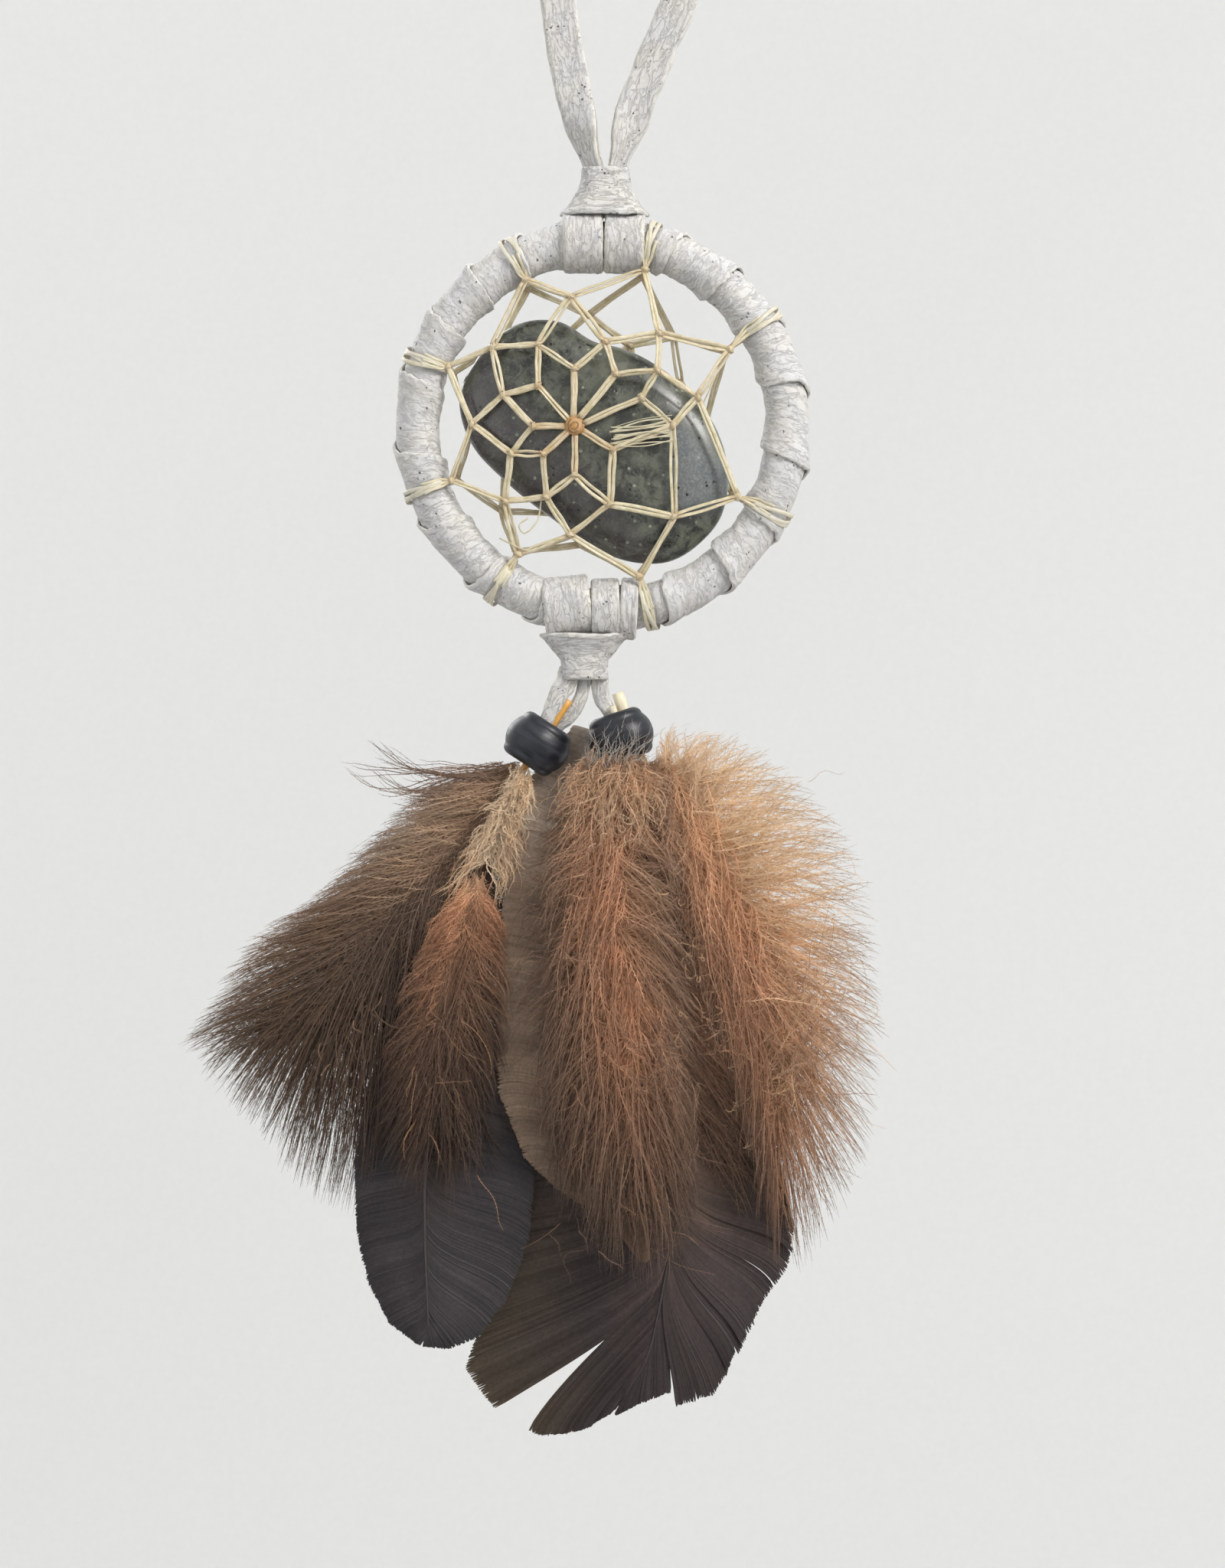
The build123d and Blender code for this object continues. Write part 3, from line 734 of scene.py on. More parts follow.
def collar(name, levels, seed):
    """A gathered sleeve of hide through (z, half width, half depth, x) levels, rolled over at both ends."""
    levels = np.array(levels, float)
    count, around = 56, 96
    dense = curve_through(levels, count)
    z, wide, deep, x = dense.T
    angle = np.linspace(0, TAU, around, endpoint=False)
    power = 2 / 2.7  # the outline lies between an ellipse and a rectangle
    cos, sin = np.cos(angle), np.sin(angle)
    flat_x = np.sign(cos) * np.abs(cos) ** power
    flat_y = np.sign(sin) * np.abs(sin) ** power
    grain = as_vectors(4.5 * angle[None], lengths_along(dense[:, :2])[:, None], 3.0 * seed)
    ring_noise = as_vectors(cos[None] * 4, sin[None] * 4, z[:, None])
    swell = ripple(ring_noise, 3.4, seed, 3)
    gathers = ripple(ring_noise * (1.6, 1.6, 0.25), 1.5, seed + 1, 3)
    grow = 1 + 0.035 * swell + 0.05 * gathers
    rim = smooth(wide / wide.max(), 0.75, 1.0)[:, None]
    sag = 0.28 * rim * ripple(np.stack([cos * 1.3, sin * 1.3, 0 * cos], 1), 1.0, seed + 2, 2)[None]
    points = as_vectors(
        x[:, None] + wide[:, None] * flat_x * grow, deep[:, None] * flat_y * grow, z[:, None] + sag
    )
    edge = smooth(wide / wide.max(), 0.9, 1.0)[:, None] * 0.35 + 0 * cos[None]
    shape = Shape()
    shape.add(points, grid_faces(count, around, close_columns=True), grain=grain, edge=edge)
    shape.piece(f"{name}_hide", suede_lace, "hoop", "suede_lace", [name])


collar("top_collar", [
    (32.0, 4.0, 2.2, 0.3), (29.7, 5.3, 2.9, 0.2), (28.85, 5.8, 3.2, 0.17), (28.8, 6.1, 3.45, 0.16),
    (29.2, 6.1, 3.5, 0.16), (29.9, 5.35, 3.15, 0.2), (31.2, 4.3, 2.7, 0.25), (32.8, 3.6, 2.4, 0.32),
    (34.3, 3.3, 2.25, 0.37), (35.3, 3.2, 2.15, 0.4), (35.5, 3.0, 1.95, 0.4), (35.1, 2.8, 1.75, 0.4),
    (33.6, 2.7, 1.6, 0.38),
], seed=4)
collar("bottom_collar", [
    (-32.0, 3.4, 2.0, -2.4), (-29.6, 5.4, 2.9, -2.4), (-28.75, 5.8, 3.2, -2.4), (-28.7, 6.15, 3.45, -2.4),
    (-29.1, 6.1, 3.5, -2.4), (-29.8, 5.1, 3.1, -2.4), (-30.9, 4.0, 2.6, -2.42), (-32.1, 3.3, 2.3, -2.45),
    (-33.5, 3.15, 2.15, -2.45), (-34.7, 3.15, 2.1, -2.45), (-35, 2.95, 1.9, -2.45), (-34.6, 2.75, 1.7, -2.45),
    (-33.2, 2.65, 1.6, -2.45),
], seed=7)
for neck in ("top_lace_neck", "bottom_lace_neck"):
    use_finish(neck, suede_lace)

# ---------------------------------------------------------------- stone
stone_outline = [
    (-19.6, 3.2), (-17.4, 9.4), (-12.2, 13.8), (-6.2, 14.3), (-1.2, 11.6), (4, 10.2), (10, 6.4), (15.2, 0.2),
    (17.3, -7.4), (15.0, -14.6), (8.8, -18.8), (1.6, -18.2), (-5.6, -13.8), (-12.4, -8.4), (-17.6, -3.2),
]


def stone():
    low, high = box_mm("stone")
    middle, half_depth = (low + high) / 2, (high[1] - low[1]) / 2
    around, levels = 128, 44
    closed = np.array(stone_outline + stone_outline[:3])
    rim = curve_through(closed, around * 8)
    start = np.argmin(np.linalg.norm(rim[: around * 4] - closed[1], axis=1))
    end = start + 10 + np.argmin(np.linalg.norm(rim[start + 10 :] - closed[-2], axis=1))
    rim = curve_through(rim[start:end:4], around + 1)[:-1]
    latitude = np.linspace(-88.5, 88.5, levels)
    share = np.cos(np.radians(latitude)) ** 0.62
    depth = half_depth * np.sin(np.radians(latitude)) * 1.02
    heart = np.array((middle[0], middle[2]))
    flat = heart + share[:, None, None] * (rim[None] - heart)
    points = np.stack([flat[..., 0], np.broadcast_to(depth[:, None], flat.shape[:2]), flat[..., 1]], -1)
    swell = ripple(points, 13.0, 21, 2)
    facet = ripple(points, 5.0, 22, 2)
    points = points * (1 + (0.012 * swell + 0.006 * facet)[..., None])
    x, z = points[..., 0], points[..., 2]
    # blue marks the stone's right side, where the painted blue-grey sheen lies; purple is the stone's own
    # colour
    blue = smooth(x, 6.5, 11.5) * smooth(z, 3.0, -2.0) * smooth(z, -15.0, -9.0)
    purple = smooth(-0.75 * x - 0.65 * z, 3.0, 9.0)
    shape = Shape()
    faces = [grid_faces(levels, around, close_columns=True), *end_caps(levels, around)]
    shape.add(points, faces, region=np.clip(0.5 + 0.5 * blue - 0.5 * purple, 0, 1))
    shape.piece("polished_stone", tumbled_stone, "hoop", "tumbled_stone", ["stone"])


stone()

# ---------------------------------------------------------------- sinew webs
web_edge_depth = 1.6
web_hub_depth = 5.6
dome_start, dome_run = 24.0, 14.0


def web_point(x, z, side):
    """A knot of the web, domed clear of the stone on its front (side -1) or back (side 1)."""
    share = min(1.0, max(0.0, (dome_start - math.hypot(x, z)) / dome_run))
    return np.array((x, side * (web_edge_depth + (web_hub_depth - web_edge_depth) * share**0.6), z))


# The webs' knots, round by round from the ring inwards.  Knot i of each round hangs between knots i - 1
# and i of the round before.
front_rounds = [
    [(-10.5, 19.8), (5.8, 21.2), (17.4, 10.2), (18.5, -9.9), (5.1, -20.9), (-11.5, -17.8), (-20.7, -7.7),
     (-21.2, 8)],
    [(-15.1, 10.5), (-4.4, 17.4), (7.7, 12.3), (13, 3.6), (9.8, -12.7), (-4.4, -15.2), (-13.3, -10.6),
     (-17.9, 0)],
    [(-13.6, 3.9), (-8.8, 10.8), (0.4, 11.1), (7.5, 7.2), (9.6, -0.3), (1, -11.1), (-7.7, -10.1),
     (-12.5, -4.1)],
    [(-9.5, -0.4), (-8.8, 5.1), (-3.8, 7.4), (1.8, 6.7), (5.3, 3.5), (1.4, -3.6), (-3.8, -7.1), (-8.1, -4.2)],
]
back_rounds = [
    [(-10.3, 19.2), (5.6, 20.9), (16.9, 10.4), (18, -9.4), (4.8, -20.5), (-11.9, -17.2), (-20.2, -7.2),
     (-20.6, 7.4)],
    [(-14.3, 11.8), (-2, 15.6), (9.7, 12.6), (14.2, 0.5), (11, -13), (-3, -16.2), (-14, -11.5),
     (-18.3, -0.5)],
    [(-14.2, 5.2), (-7.2, 11.2), (3.8, 11.4), (10.8, 6.2), (10.6, -5.8), (3.2, -12), (-6.8, -11.8),
     (-13.4, -5.4)],
    [(-9.0, -0.2), (-7.2, 5.2), (-1.6, 7.4), (4.6, 6.2), (6.4, 0.4), (4.4, -5.6), (-1.4, -7.2), (-7.0, -5.0)],
]
hubs = {"front": (-3.8, -0.4), "back": (-1.2, 0.2)}
hub_radius = 1.5


def round_tube(shape, path, half_width, half_thick, up=(0, -1, 0), sides=8, amber=0.0, twist=0.0):
    """A thread with an oval section, which may change along it."""
    path = np.asarray(path, float)
    angle = np.linspace(0, TAU, sides, endpoint=False)
    width = np.broadcast_to(half_width, len(path))[:, None]
    thick = np.broadcast_to(half_thick, len(path))[:, None]
    section = np.stack([width * np.cos(angle), thick * np.sin(angle)], -1)
    points = sweep_section(path, up, section, twist)
    along = lengths_along(path)
    grain = as_vectors(along[:, None], angle[None] * 0.35 + path[0, 0], path[0, 2])
    share = (along / along[-1])[:, None] + 0 * angle[None]
    amber = np.broadcast_to(np.asarray(amber, float).reshape(-1, 1), share.shape)
    faces = [grid_faces(len(path), sides, close_columns=True), *end_caps(len(path), sides)]
    shape.add(points, faces, grain=grain, amber=amber, along=share, edge=0.0)


def bundle(shape, rng, a, b, tone, spread=0.2, strands=2):
    """Waxed sinew pulled tight between two knots, split into strands side by side."""
    t = np.linspace(0, 1, 11)[:, None]
    across = unit(np.cross(b - a, (0, 1, 0)))
    length = np.linalg.norm(b - a)
    for k in range(strands):
        place = (k - (strands - 1) / 2) * 2
        bow = np.sin(math.pi * t) ** 0.6
        apart = spread * (0.4 + 0.7 * rng.random()) * bow + 0.15
        path = a + (b - a) * t + across * place * apart
        path = path + np.array((0, 1, 0)) * (rng.normal(0, 0.06) * bow + (k % 2) * 0.08)
        path = path + across * 0.05 * np.sin(t * TAU * (0.7 + rng.random()) + 6 * rng.random())
        width = (0.30 + 0.06 * rng.random()) * (1 - 0.2 * bow[:, 0])
        near = np.exp(-((t[:, 0] * length / 0.9) ** 2)) + np.exp(-(((1 - t[:, 0]) * length / 0.9) ** 2))
        amber = np.clip(tone + 0.3 * near, 0, 1)  # darker by its knots
        round_tube(shape, path, width, 0.15, amber=amber, twist=rng.normal(0, 0.5))


def lump(shape, centre, size, amber):
    """A small pulled-down knot."""
    rows, columns = 9, 12
    polar = np.linspace(0.08, math.pi - 0.08, rows)[:, None]
    turn = np.linspace(0, TAU, columns, endpoint=False)[None]
    ball = np.stack(
        [np.sin(polar) * np.cos(turn), np.cos(polar) + 0 * turn, np.sin(polar) * np.sin(turn)], -1
    )
    wobble = 1 + 0.16 * ripple(ball * 1.3 + centre, 1.0, 31, 2)
    points = centre + ball * np.array(size) * wobble[..., None]
    faces = [grid_faces(rows, columns, close_columns=True), *end_caps(rows, columns)]
    shape.add(points, faces, grain=points, amber=amber, along=0.0, edge=0.0)


def half_hitch(shape, centre, direction, radius, amber):
    """One turn of sinew thrown round the thread that leaves a knot in that direction."""
    turn = np.linspace(0, TAU * 1.1, 16)
    _, sides, ups = frames_along(np.array([centre, centre + direction]), (0, -1, 0))
    path = centre + radius * (np.cos(turn)[:, None] * sides[0] + 0.75 * np.sin(turn)[:, None] * ups[0])
    path = path + direction * (turn / TAU * 0.22)[:, None]
    round_tube(shape, path, 0.17, 0.12, up=direction, sides=6, amber=amber)


def web(face, rounds, side, seed):
    rng = np.random.default_rng(seed)
    hub = web_point(*hubs[face], side)
    shape = Shape()

    def tone(a, b):
        near = np.linalg.norm((a + b) / 2 - hub)
        return 0.04 + 0.75 * float(smooth(-near, -5.0, -0.8)) + rng.uniform(-0.04, 0.08)

    for angle, knot in zip(hitch_angles, rounds[0]):
        first = web_point(*knot, side)
        over = [around_ring(angle, wrap_radius + 0.28, side_turn) for side_turn in (1.35, 1.75, 2.1)]
        over = np.array(over) * (1, -side if side > 0 else 1, 1)
        for k, apart in enumerate((-0.55, 0.05, 0.5)):
            sideways = np.cross(unit(over[0] - over[-1]), (0, 1, 0)) * apart
            route = np.concatenate([[over[0] + 1.3 * sideways], over[1:] + sideways, [first]])
            path = curve_through(route, 14)
            round_tube(shape, path, 0.22, 0.12, amber=-0.25 + 0.5 * np.linspace(0, 1, 14), twist=0.3 * k)
    for outer, inner in zip(rounds, rounds[1:]):
        for i, knot in enumerate(inner):
            for j in (i - 1, i):
                a, b = web_point(*outer[j], side), web_point(*knot, side)
                bundle(shape, rng, a, b, tone(a, b), spread=rng.choice([0.02, 0.08, 0.22]))
    for knot, degrees in zip(rounds[-1], (180, 135, 98, 58, 20, -35, -85, -138)):
        angle = math.radians(degrees)
        end = hub + hub_radius * 0.75 * np.array((math.cos(angle), 0, math.sin(angle)))
        a = web_point(*knot, side)
        bundle(shape, rng, a, end, tone(a, end) + 0.05, spread=0.1, strands=2)
    for which, one_round in enumerate(rounds):
        for knot in one_round:
            centre = web_point(*knot, side)
            near_hub = float(smooth(-np.linalg.norm(centre - hub), -9, -3))
            amber = np.clip(0.3 + 0.4 * near_hub + rng.normal(0, 0.08), 0, 1)
            size = 0.45 if which else 0.58
            lump(shape, centre, (size, 0.38, size), amber)
            half_hitch(shape, centre, unit(centre - hub), 0.52, amber * 0.8)
            half_hitch(shape, centre, unit(hub - centre + rng.normal(0, 2, 3) * (1, 0, 1)), 0.48, amber * 0.7)
    shape.piece(f"sinew_web_{face}", sinew, "hoop", "sinew", [f"web_{face}"])

    knot = Shape()
    for k in range(9):
        start = rng.uniform(0, TAU)
        turn = np.linspace(start, start + rng.uniform(2.2, 4.5), 18)
        reach = rng.uniform(0.5, 1.15)
        path = hub + np.stack([reach * np.cos(turn), 0 * turn, reach * np.sin(turn)], 1)
        path = path + np.stack([0 * turn, side * (0.12 * k - 0.3) + 0.12 * np.sin(2 * turn), 0 * turn], 1)
        round_tube(knot, path, 0.24, 0.16, amber=0.75 + 0.25 * rng.random())
    lump(knot, hub + np.array((0, side * 0.25, 0)), (0.7, 0.5, 0.85), 0.95)
    knot.piece(f"sinew_hub_{face}", sinew, "hoop", "sinew_amber", [f"web_{face}_hub_knot"])


web("front", front_rounds, -1, 5)
web("back", back_rounds, 1, 6)


def ring_hitches():
    """The sinew's turns round the wrapped ring, pressed into the leather."""
    rng = np.random.default_rng(8)
    shape = Shape()
    turn = np.linspace(0, TAU, 48)
    for angle in hitch_angles:
        for k in range(3):
            fan = (k - 1) * 1.25 + rng.normal(0, 0.15)
            slant = rng.normal(0, 0.9)
            degrees = angle + fan * smooth(np.cos(turn), -0.6, 0.9) + slant * np.sin(turn)
            path = around_ring(degrees, wrap_radius + 0.2 + 0.05 * k, turn)
            path[-1] = path[0]
            outward = unit(path - around_ring(degrees))
            round_tube(shape, path, 0.30, 0.10, up=outward, amber=-0.35 + 0.2 * rng.random())
    shape.piece("sinew_hitches", sinew, "hoop", "sinew", ["sinew_ring_hitches"])


def loose_fibres():
    """Frayed sinew lying across the stone, and one curled end."""
    rng = np.random.default_rng(9)
    shape = Shape()
    for k in range(15):
        low = k / 14
        a = np.array((0.8 + 1.2 * rng.random(), -5.75, -0.5 - 2.9 * low + rng.normal(0, 0.2)))
        b = np.array((9.2 + 0.5 * rng.random(), -5.6, 0.9 - 3.4 * low + rng.normal(0, 0.25)))
        middle = (a + b) / 2 + (0, -0.25, rng.normal(0, 0.22))
        path = curve_through([a, middle + rng.normal(0, 0.12, 3), b], 16)
        round_tube(shape, path, 0.05 + 0.09 * rng.random(), 0.05, sides=6, amber=0.0)
    for route in (
        [(-8.3, -4.2, -10.1), (-8.9, -4.6, -13.2), (-10.6, -4.8, -15), (-11.4, -4.4, -13.9),
         (-10.2, -4, -12.9)],
        [(-3.8, -3.4, -15.4), (-7.4, -3.6, -16.7), (-10.2, -3.6, -17.3), (-12.9, -3.4, -16.2),
         (-14.1, -3.2, -15.6)],
        [(17.4, -3.2, 10.2), (15.6, -3.9, 6.9), (14.6, -4.3, 4.6), (13.7, -4.6, 2.6)],
    ):
        round_tube(shape, curve_through(route, 24), 0.11, 0.08, sides=6, amber=0.05)
    shape.piece("sinew_loose_fibres", sinew, "hoop", "sinew")


ring_hitches()
loose_fibres()

# ---------------------------------------------------------------- beads
left_bead_at, right_bead_at = np.array((-8.95, 0, -43.7)), np.array((2.5, 0, -42.7))
left_hang, right_hang = np.array((-3.7, 0, -35.7)), np.array((0.15, 0, -35.7))
left_down, right_down = unit(left_bead_at - left_hang), unit(right_bead_at - right_hang)


def bead(name, centre, down, seed):
    """A barrel bead, rounded into its bore, with the faint flats that moulding leaves."""
    half, wide, bore, lip = 3.35, 4.55, 2.15, 1.15
    shoulder = wide - 0.75
    side_stretch = [(wide - 0.75 * abs(s) ** 2.2, (half - lip) * s) for s in np.linspace(0, 1, 13)]
    lip_turns = np.linspace(0, math.pi / 2, 9)[1:]
    rounded = [(shoulder - lip + lip * math.cos(a), half - lip + lip * math.sin(a)) for a in lip_turns]
    upper = [*side_stretch, *rounded, (2.4, half * 0.99), (bore, half * 0.9)]
    lower = [(radius, -height) for radius, height in reversed(upper[1:])]
    profile = np.array(lower + upper)
    turn = np.linspace(0, TAU, 96, endpoint=False)
    side = np.cross(down, (0, 1, 0))
    around = np.cos(turn)[:, None] * side + np.sin(turn)[:, None] * np.array((0, 1, 0))
    body = profile[None, :, :1] * around[:, None] - profile[None, :, 1:] * down
    soft = ripple(body, 4.0, seed, 2)
    body = body * (1 + 0.016 * soft[..., None])
    grain = as_vectors(turn[:, None] * 4, profile[None, :, 1], 7.0 * seed)
    shape = Shape()
    faces = grid_faces(len(turn), len(profile), close_rows=True, close_columns=True)
    shape.add(centre + body, faces, grain=grain, edge=0.0)
    shape.piece(f"{name}_moulded", black_bead, name, "black_bead", [name])


bead("left_bead", left_bead_at, left_down, 2)
bead("right_bead", right_bead_at, right_down, 5)


# ---------------------------------------------------------------- pendant laces
def pendant_lace(name, nodes_for, route, widths, y, thick, seed):
    """A lace from inside the bottom collar into its bead's bore."""
    route = np.array([(x, y_at, z) for (x, z), y_at in zip(route, y)])
    count = 40
    path = curve_through(route, count)
    width = np.interp(np.linspace(0, 1, count), np.linspace(0, 1, len(widths)), widths)
    section, edge = strip_section(1.0, 1.0, across=14)
    section = np.stack([section * (w, thick) for w in width])
    points = sweep_section(path, (0, -1, 0), section, 0.12 * np.sin(np.linspace(0, 3, count) + seed))
    grain = np.zeros(points.shape)
    grain[..., 0] = lengths_along(path)[:, None] + 23 * seed
    grain[..., 1], grain[..., 2] = section[..., 0], 3 * (section[..., 1] < 0)
    rough = ripple(grain, 1.1, seed, 3)
    ragged = ripple(as_vectors(grain[..., 0] / 2.2, np.sign(section[..., 0]) * 5, 0.0), 1.0, seed, 3)
    middle = path[:, None]
    points = middle + (points - middle) * (1 + 0.10 * rough + 0.10 * ragged * edge[None])[..., None]
    shape = Shape()
    faces = [grid_faces(count, section.shape[1], close_columns=True), *end_caps(count, section.shape[1])]
    shape.add(points, faces, grain=grain, edge=np.broadcast_to(edge, points.shape[:2]))
    lace = shape.piece(name, suede_lace, slot="suede_lace", replaces=nodes_for)
    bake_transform(lace)


pendant_lace(
    "left_lace_outer", ["left_lace_front"],
    [(-4.5, -33.4), (-4.9, -35.2), (-6.0, -37.0), (-7.2, -39.4), (-8.1, -41.6), (-9.0, -43.8)],
    [3.0, 3.0, 2.7, 2.3, 2.1, 1.9], [-0.3, -0.6, -0.7, -0.6, -0.5, -0.4], 1.15, 3,
)
pendant_lace(
    "left_lace_inner", ["left_lace_back"],
    [(-2.5, -33.4), (-2.55, -35.6), (-3.3, -37.9), (-4.7, -40.0), (-6.6, -41.7), (-8.2, -43.6)],
    [2.2, 2.0, 2.0, 2.1, 1.7, 1.5], [0.4, 0.2, 0.1, 0.3, 0.6, 0.7], 1.05, 4,
)
pendant_lace(
    "right_lace_strip", ["right_lace"],
    [(-0.6, -33.4), (-0.3, -35.6), (-0.1, -37.7), (0.9, -39.3), (1.8, -41.0), (2.5, -42.9)],
    [2.6, 2.5, 2.2, 2.0, 1.8, 1.6], [-0.1, 0.0, 0.1, 0.1, 0.0, 0.0], 1.05, 5,
)

# ---------------------------------------------------------------- feathers
def tone(red, green, blue, share=1.0):
    """A share of a display colour, 0 to 255, as linear light."""
    c = np.array((red, green, blue), float) / 255
    return np.where(c < 0.04, c / 12.92, ((c + 0.055) / 1.055) ** 2.4) * share


def muted(colours, share):
    """Colours drawn towards grey, because light that passes through many barbs deepens them."""
    grey_of = (colours * (0.3, 0.55, 0.15)).sum(-1, keepdims=True)
    return colours + (grey_of - colours) * share


def along_line(line, share):
    """Points at those shares, 0 to 1, of the way along a line of points."""
    line = np.asarray(line, float)
    return between(share, lengths_along(line) / lengths_along(line)[-1], line)


def evenly_between(share, values):
    """Each column of values at those shares, when the values are evenly spaced."""
    return between(share, np.linspace(0, 1, len(values)), values)


def colours_over(runs, place, t):
    """Colours at shares t along barbs at those places.  Each of the runs is a barb's stops from root to
    tip, and they stand for barbs from the first to the last."""
    tables = np.array([evenly_between(t, np.array([tone(*stop) for stop in run])) for run in runs])
    return evenly_between(place, tables.reshape(len(runs), -1)).reshape(len(place), len(t), 3)


def bent_lines(roots, ends, ahead, stations, lead, droop, lean, hook):
    """Lines that set off along the rachis and droop at their ends, and the way that each one heads."""
    length = np.linalg.norm(ends - roots, axis=1, keepdims=True)
    heading = unit(ends - roots)
    first = roots + unit(ahead + lean * heading) * length * lead
    last = ends - unit(heading + np.array((0, -1)) * droop) * length * hook
    t = np.linspace(0, 1, stations)[None, :, None]
    lines = (
        (1 - t) ** 3 * roots[:, None] + 3 * (1 - t) ** 2 * t * first[:, None]
        + 3 * (1 - t) * t**2 * last[:, None] + t**3 * ends[:, None]
    )
    return lines, heading


def blades(shape, paths, widths, turns, colours, fringe=None, rng=None):
    """Barbs as thin ribbons along paths (barbs, stations, 3).  turns is how far each is rolled from facing
    front; fringe is the length of the barbules that leave both of its edges."""
    barbs, stations = paths.shape[:2]
    tangents = unit(np.gradient(paths, axis=1))
    sides = unit(np.cross(tangents, (0, -1, 0)))
    ups = np.cross(sides, tangents)
    across = sides * np.cos(turns)[..., None] + ups * np.sin(turns)[..., None]
    half = widths[..., None] / 2
    edges = np.stack([paths - across * half, paths + across * half], 2)  # barb, station, side
    number = np.arange(barbs * stations * 2).reshape(barbs, stations, 2)
    quads = np.stack([number[:, :-1, 0], number[:, 1:, 0], number[:, 1:, 1], number[:, :-1, 1]], -1)
    points, faces = [edges.reshape(-1, 3)], [quads.reshape(-1, 4)]
    tints = [np.repeat(colours, 2, axis=1).reshape(-1, 3)]
    if fringe is not None:
        steps = stations - 2
        inner = slice(1, -1)
        for sign in (-1, 1):
            length = fringe[:, inner] * rng.uniform(0.4, 1.3, (barbs, steps))
            lean = rng.normal(0.75, 0.3, (barbs, steps, 1)) * sign
            rise = rng.normal(0, 0.5, (barbs, steps, 1))
            roll = across[:, inner] * lean + np.cross(across, tangents)[:, inner] * rise
            tip = paths[:, inner] + unit(tangents[:, inner] + roll) * length[..., None]
            start = sum(len(p) for p in points)
            tip_number = start + np.arange(barbs * steps).reshape(barbs, steps)
            points.append(tip.reshape(-1, 3))
            tints.append((colours[:, inner] * rng.uniform(0.9, 1.2, (barbs, steps, 1))).reshape(-1, 3))
            barbules = np.stack([number[:, inner, 0], tip_number, number[:, inner, 1]], -1)
            faces.append(barbules.reshape(-1, 3))
    shape.add(np.concatenate(points), faces, colour=np.concatenate(tints))


def sweep_of_barbs(
    rng, count, stations, rachis, tips, y_root, y_tip, bulge=0.5, lead=0.3, droop=0.2, reach=(0.3, 1.0),
    clumps=22, gather=0.35, wave=0.6, even=0.25, hold=0.62, scatter=0.7,
):
    """Barb paths from along the rachis out to a line of tips, in clumps that part and curl.  The barbs
    leave only the first part of the rachis, hold, and so sweep well down the feather."""
    place = (np.arange(count) + rng.random(count)) / count
    root_place = np.clip(place * hold + rng.normal(0, 0.09, count), 0.01, 0.99)
    roots = along_line(rachis, root_place) + rng.normal(0, scatter, (count, 2))
    ahead = unit(along_line(rachis, root_place + 0.01) - along_line(rachis, root_place - 0.01))
    clump = np.minimum((place * clumps + rng.normal(0, 0.25, count)).astype(int), clumps - 1)
    clump = np.maximum(clump, 0)
    clump_shift = rng.normal(0, 1, (clumps, 2))
    ends = along_line(tips, np.clip(place + rng.normal(0, 0.05, count), 0, 1))
    middle = along_line(tips, (clump + 0.5) / clumps) + clump_shift[clump]
    ends = ends + (middle - ends) * gather * rng.random((count, 1)) ** 0.5
    share = reach[0] + (reach[1] - reach[0]) * rng.random(count) ** even
    ends = roots + (ends - roots) * share[:, None] + rng.normal(0, 0.35, (count, 2))
    flat, heading = bent_lines(roots, ends, ahead, stations, lead, droop, lean=0.6, hook=0.35)
    # each clump curls its own way, and each barb is a little crooked
    normal = np.stack([-heading[:, 1], heading[:, 0]], -1)[:, None]
    t = np.linspace(0, 1, stations)[None]
    phase = rng.uniform(0, TAU, (clumps, 1))[clump] + rng.normal(0, 0.5, (count, 1))
    cycles = rng.uniform(0.6, 1.6, (clumps, 1))[clump]
    flat = flat + normal * (wave * t * np.sin(TAU * cycles * t + phase))[..., None]
    fine = rng.uniform(0, TAU, (count, 1))
    crook = np.sin(TAU * (3 + 2 * rng.random((count, 1))) * t + fine)
    flat = flat + normal * (0.09 * wave * crook)[..., None]
    clump_depth = rng.normal(0, 0.5, (clumps, 1))[clump]
    low, high = y_tip
    y_end = rng.uniform(low, high, (count, 1)) + clump_depth * 0.6 * (high - low) / 2
    y = y_root + (y_end - y_root) * t**0.75
    y = y - bulge * np.sin(math.pi * t**0.8) * rng.uniform(0.4, 1.0, (count, 1))
    y = y + 0.15 * np.sin(TAU * 1.5 * t + fine)
    return np.stack([flat[..., 0], y, flat[..., 1]], -1), place


def down(
    shape, rng, count, rachis, tips, y_root, y_tip, runs,
    width=0.13, fringe=1.6, stations=22, lift=1.2, **sweep,
):
    """A side of fluffy barbs."""
    paths, place = sweep_of_barbs(rng, count, stations, rachis, tips, y_root, y_tip, **sweep)
    t = np.linspace(0, 1, stations)
    colours = muted(colours_over(runs, place, t), 0.2) * lift
    colours = colours * rng.normal(1, 0.1, (count, 1, 1)).clip(0.7, 1.4)
    colours = colours / np.maximum(colours.max(-1, keepdims=True) / 0.82, 1)
    widths = width * rng.uniform(0.6, 1.3, (count, 1)) * (1 - t) ** 0.45 + 0.02
    turns = rng.normal(0, 0.5, (count, 1)) + rng.normal(0, 0.8, (count, 1)) * t
    soft = fringe * rng.uniform(0.5, 1.2, (count, 1)) * (0.15 + (1 - t) ** 0.6)
    blades(shape, paths, widths, turns, colours, soft, rng)


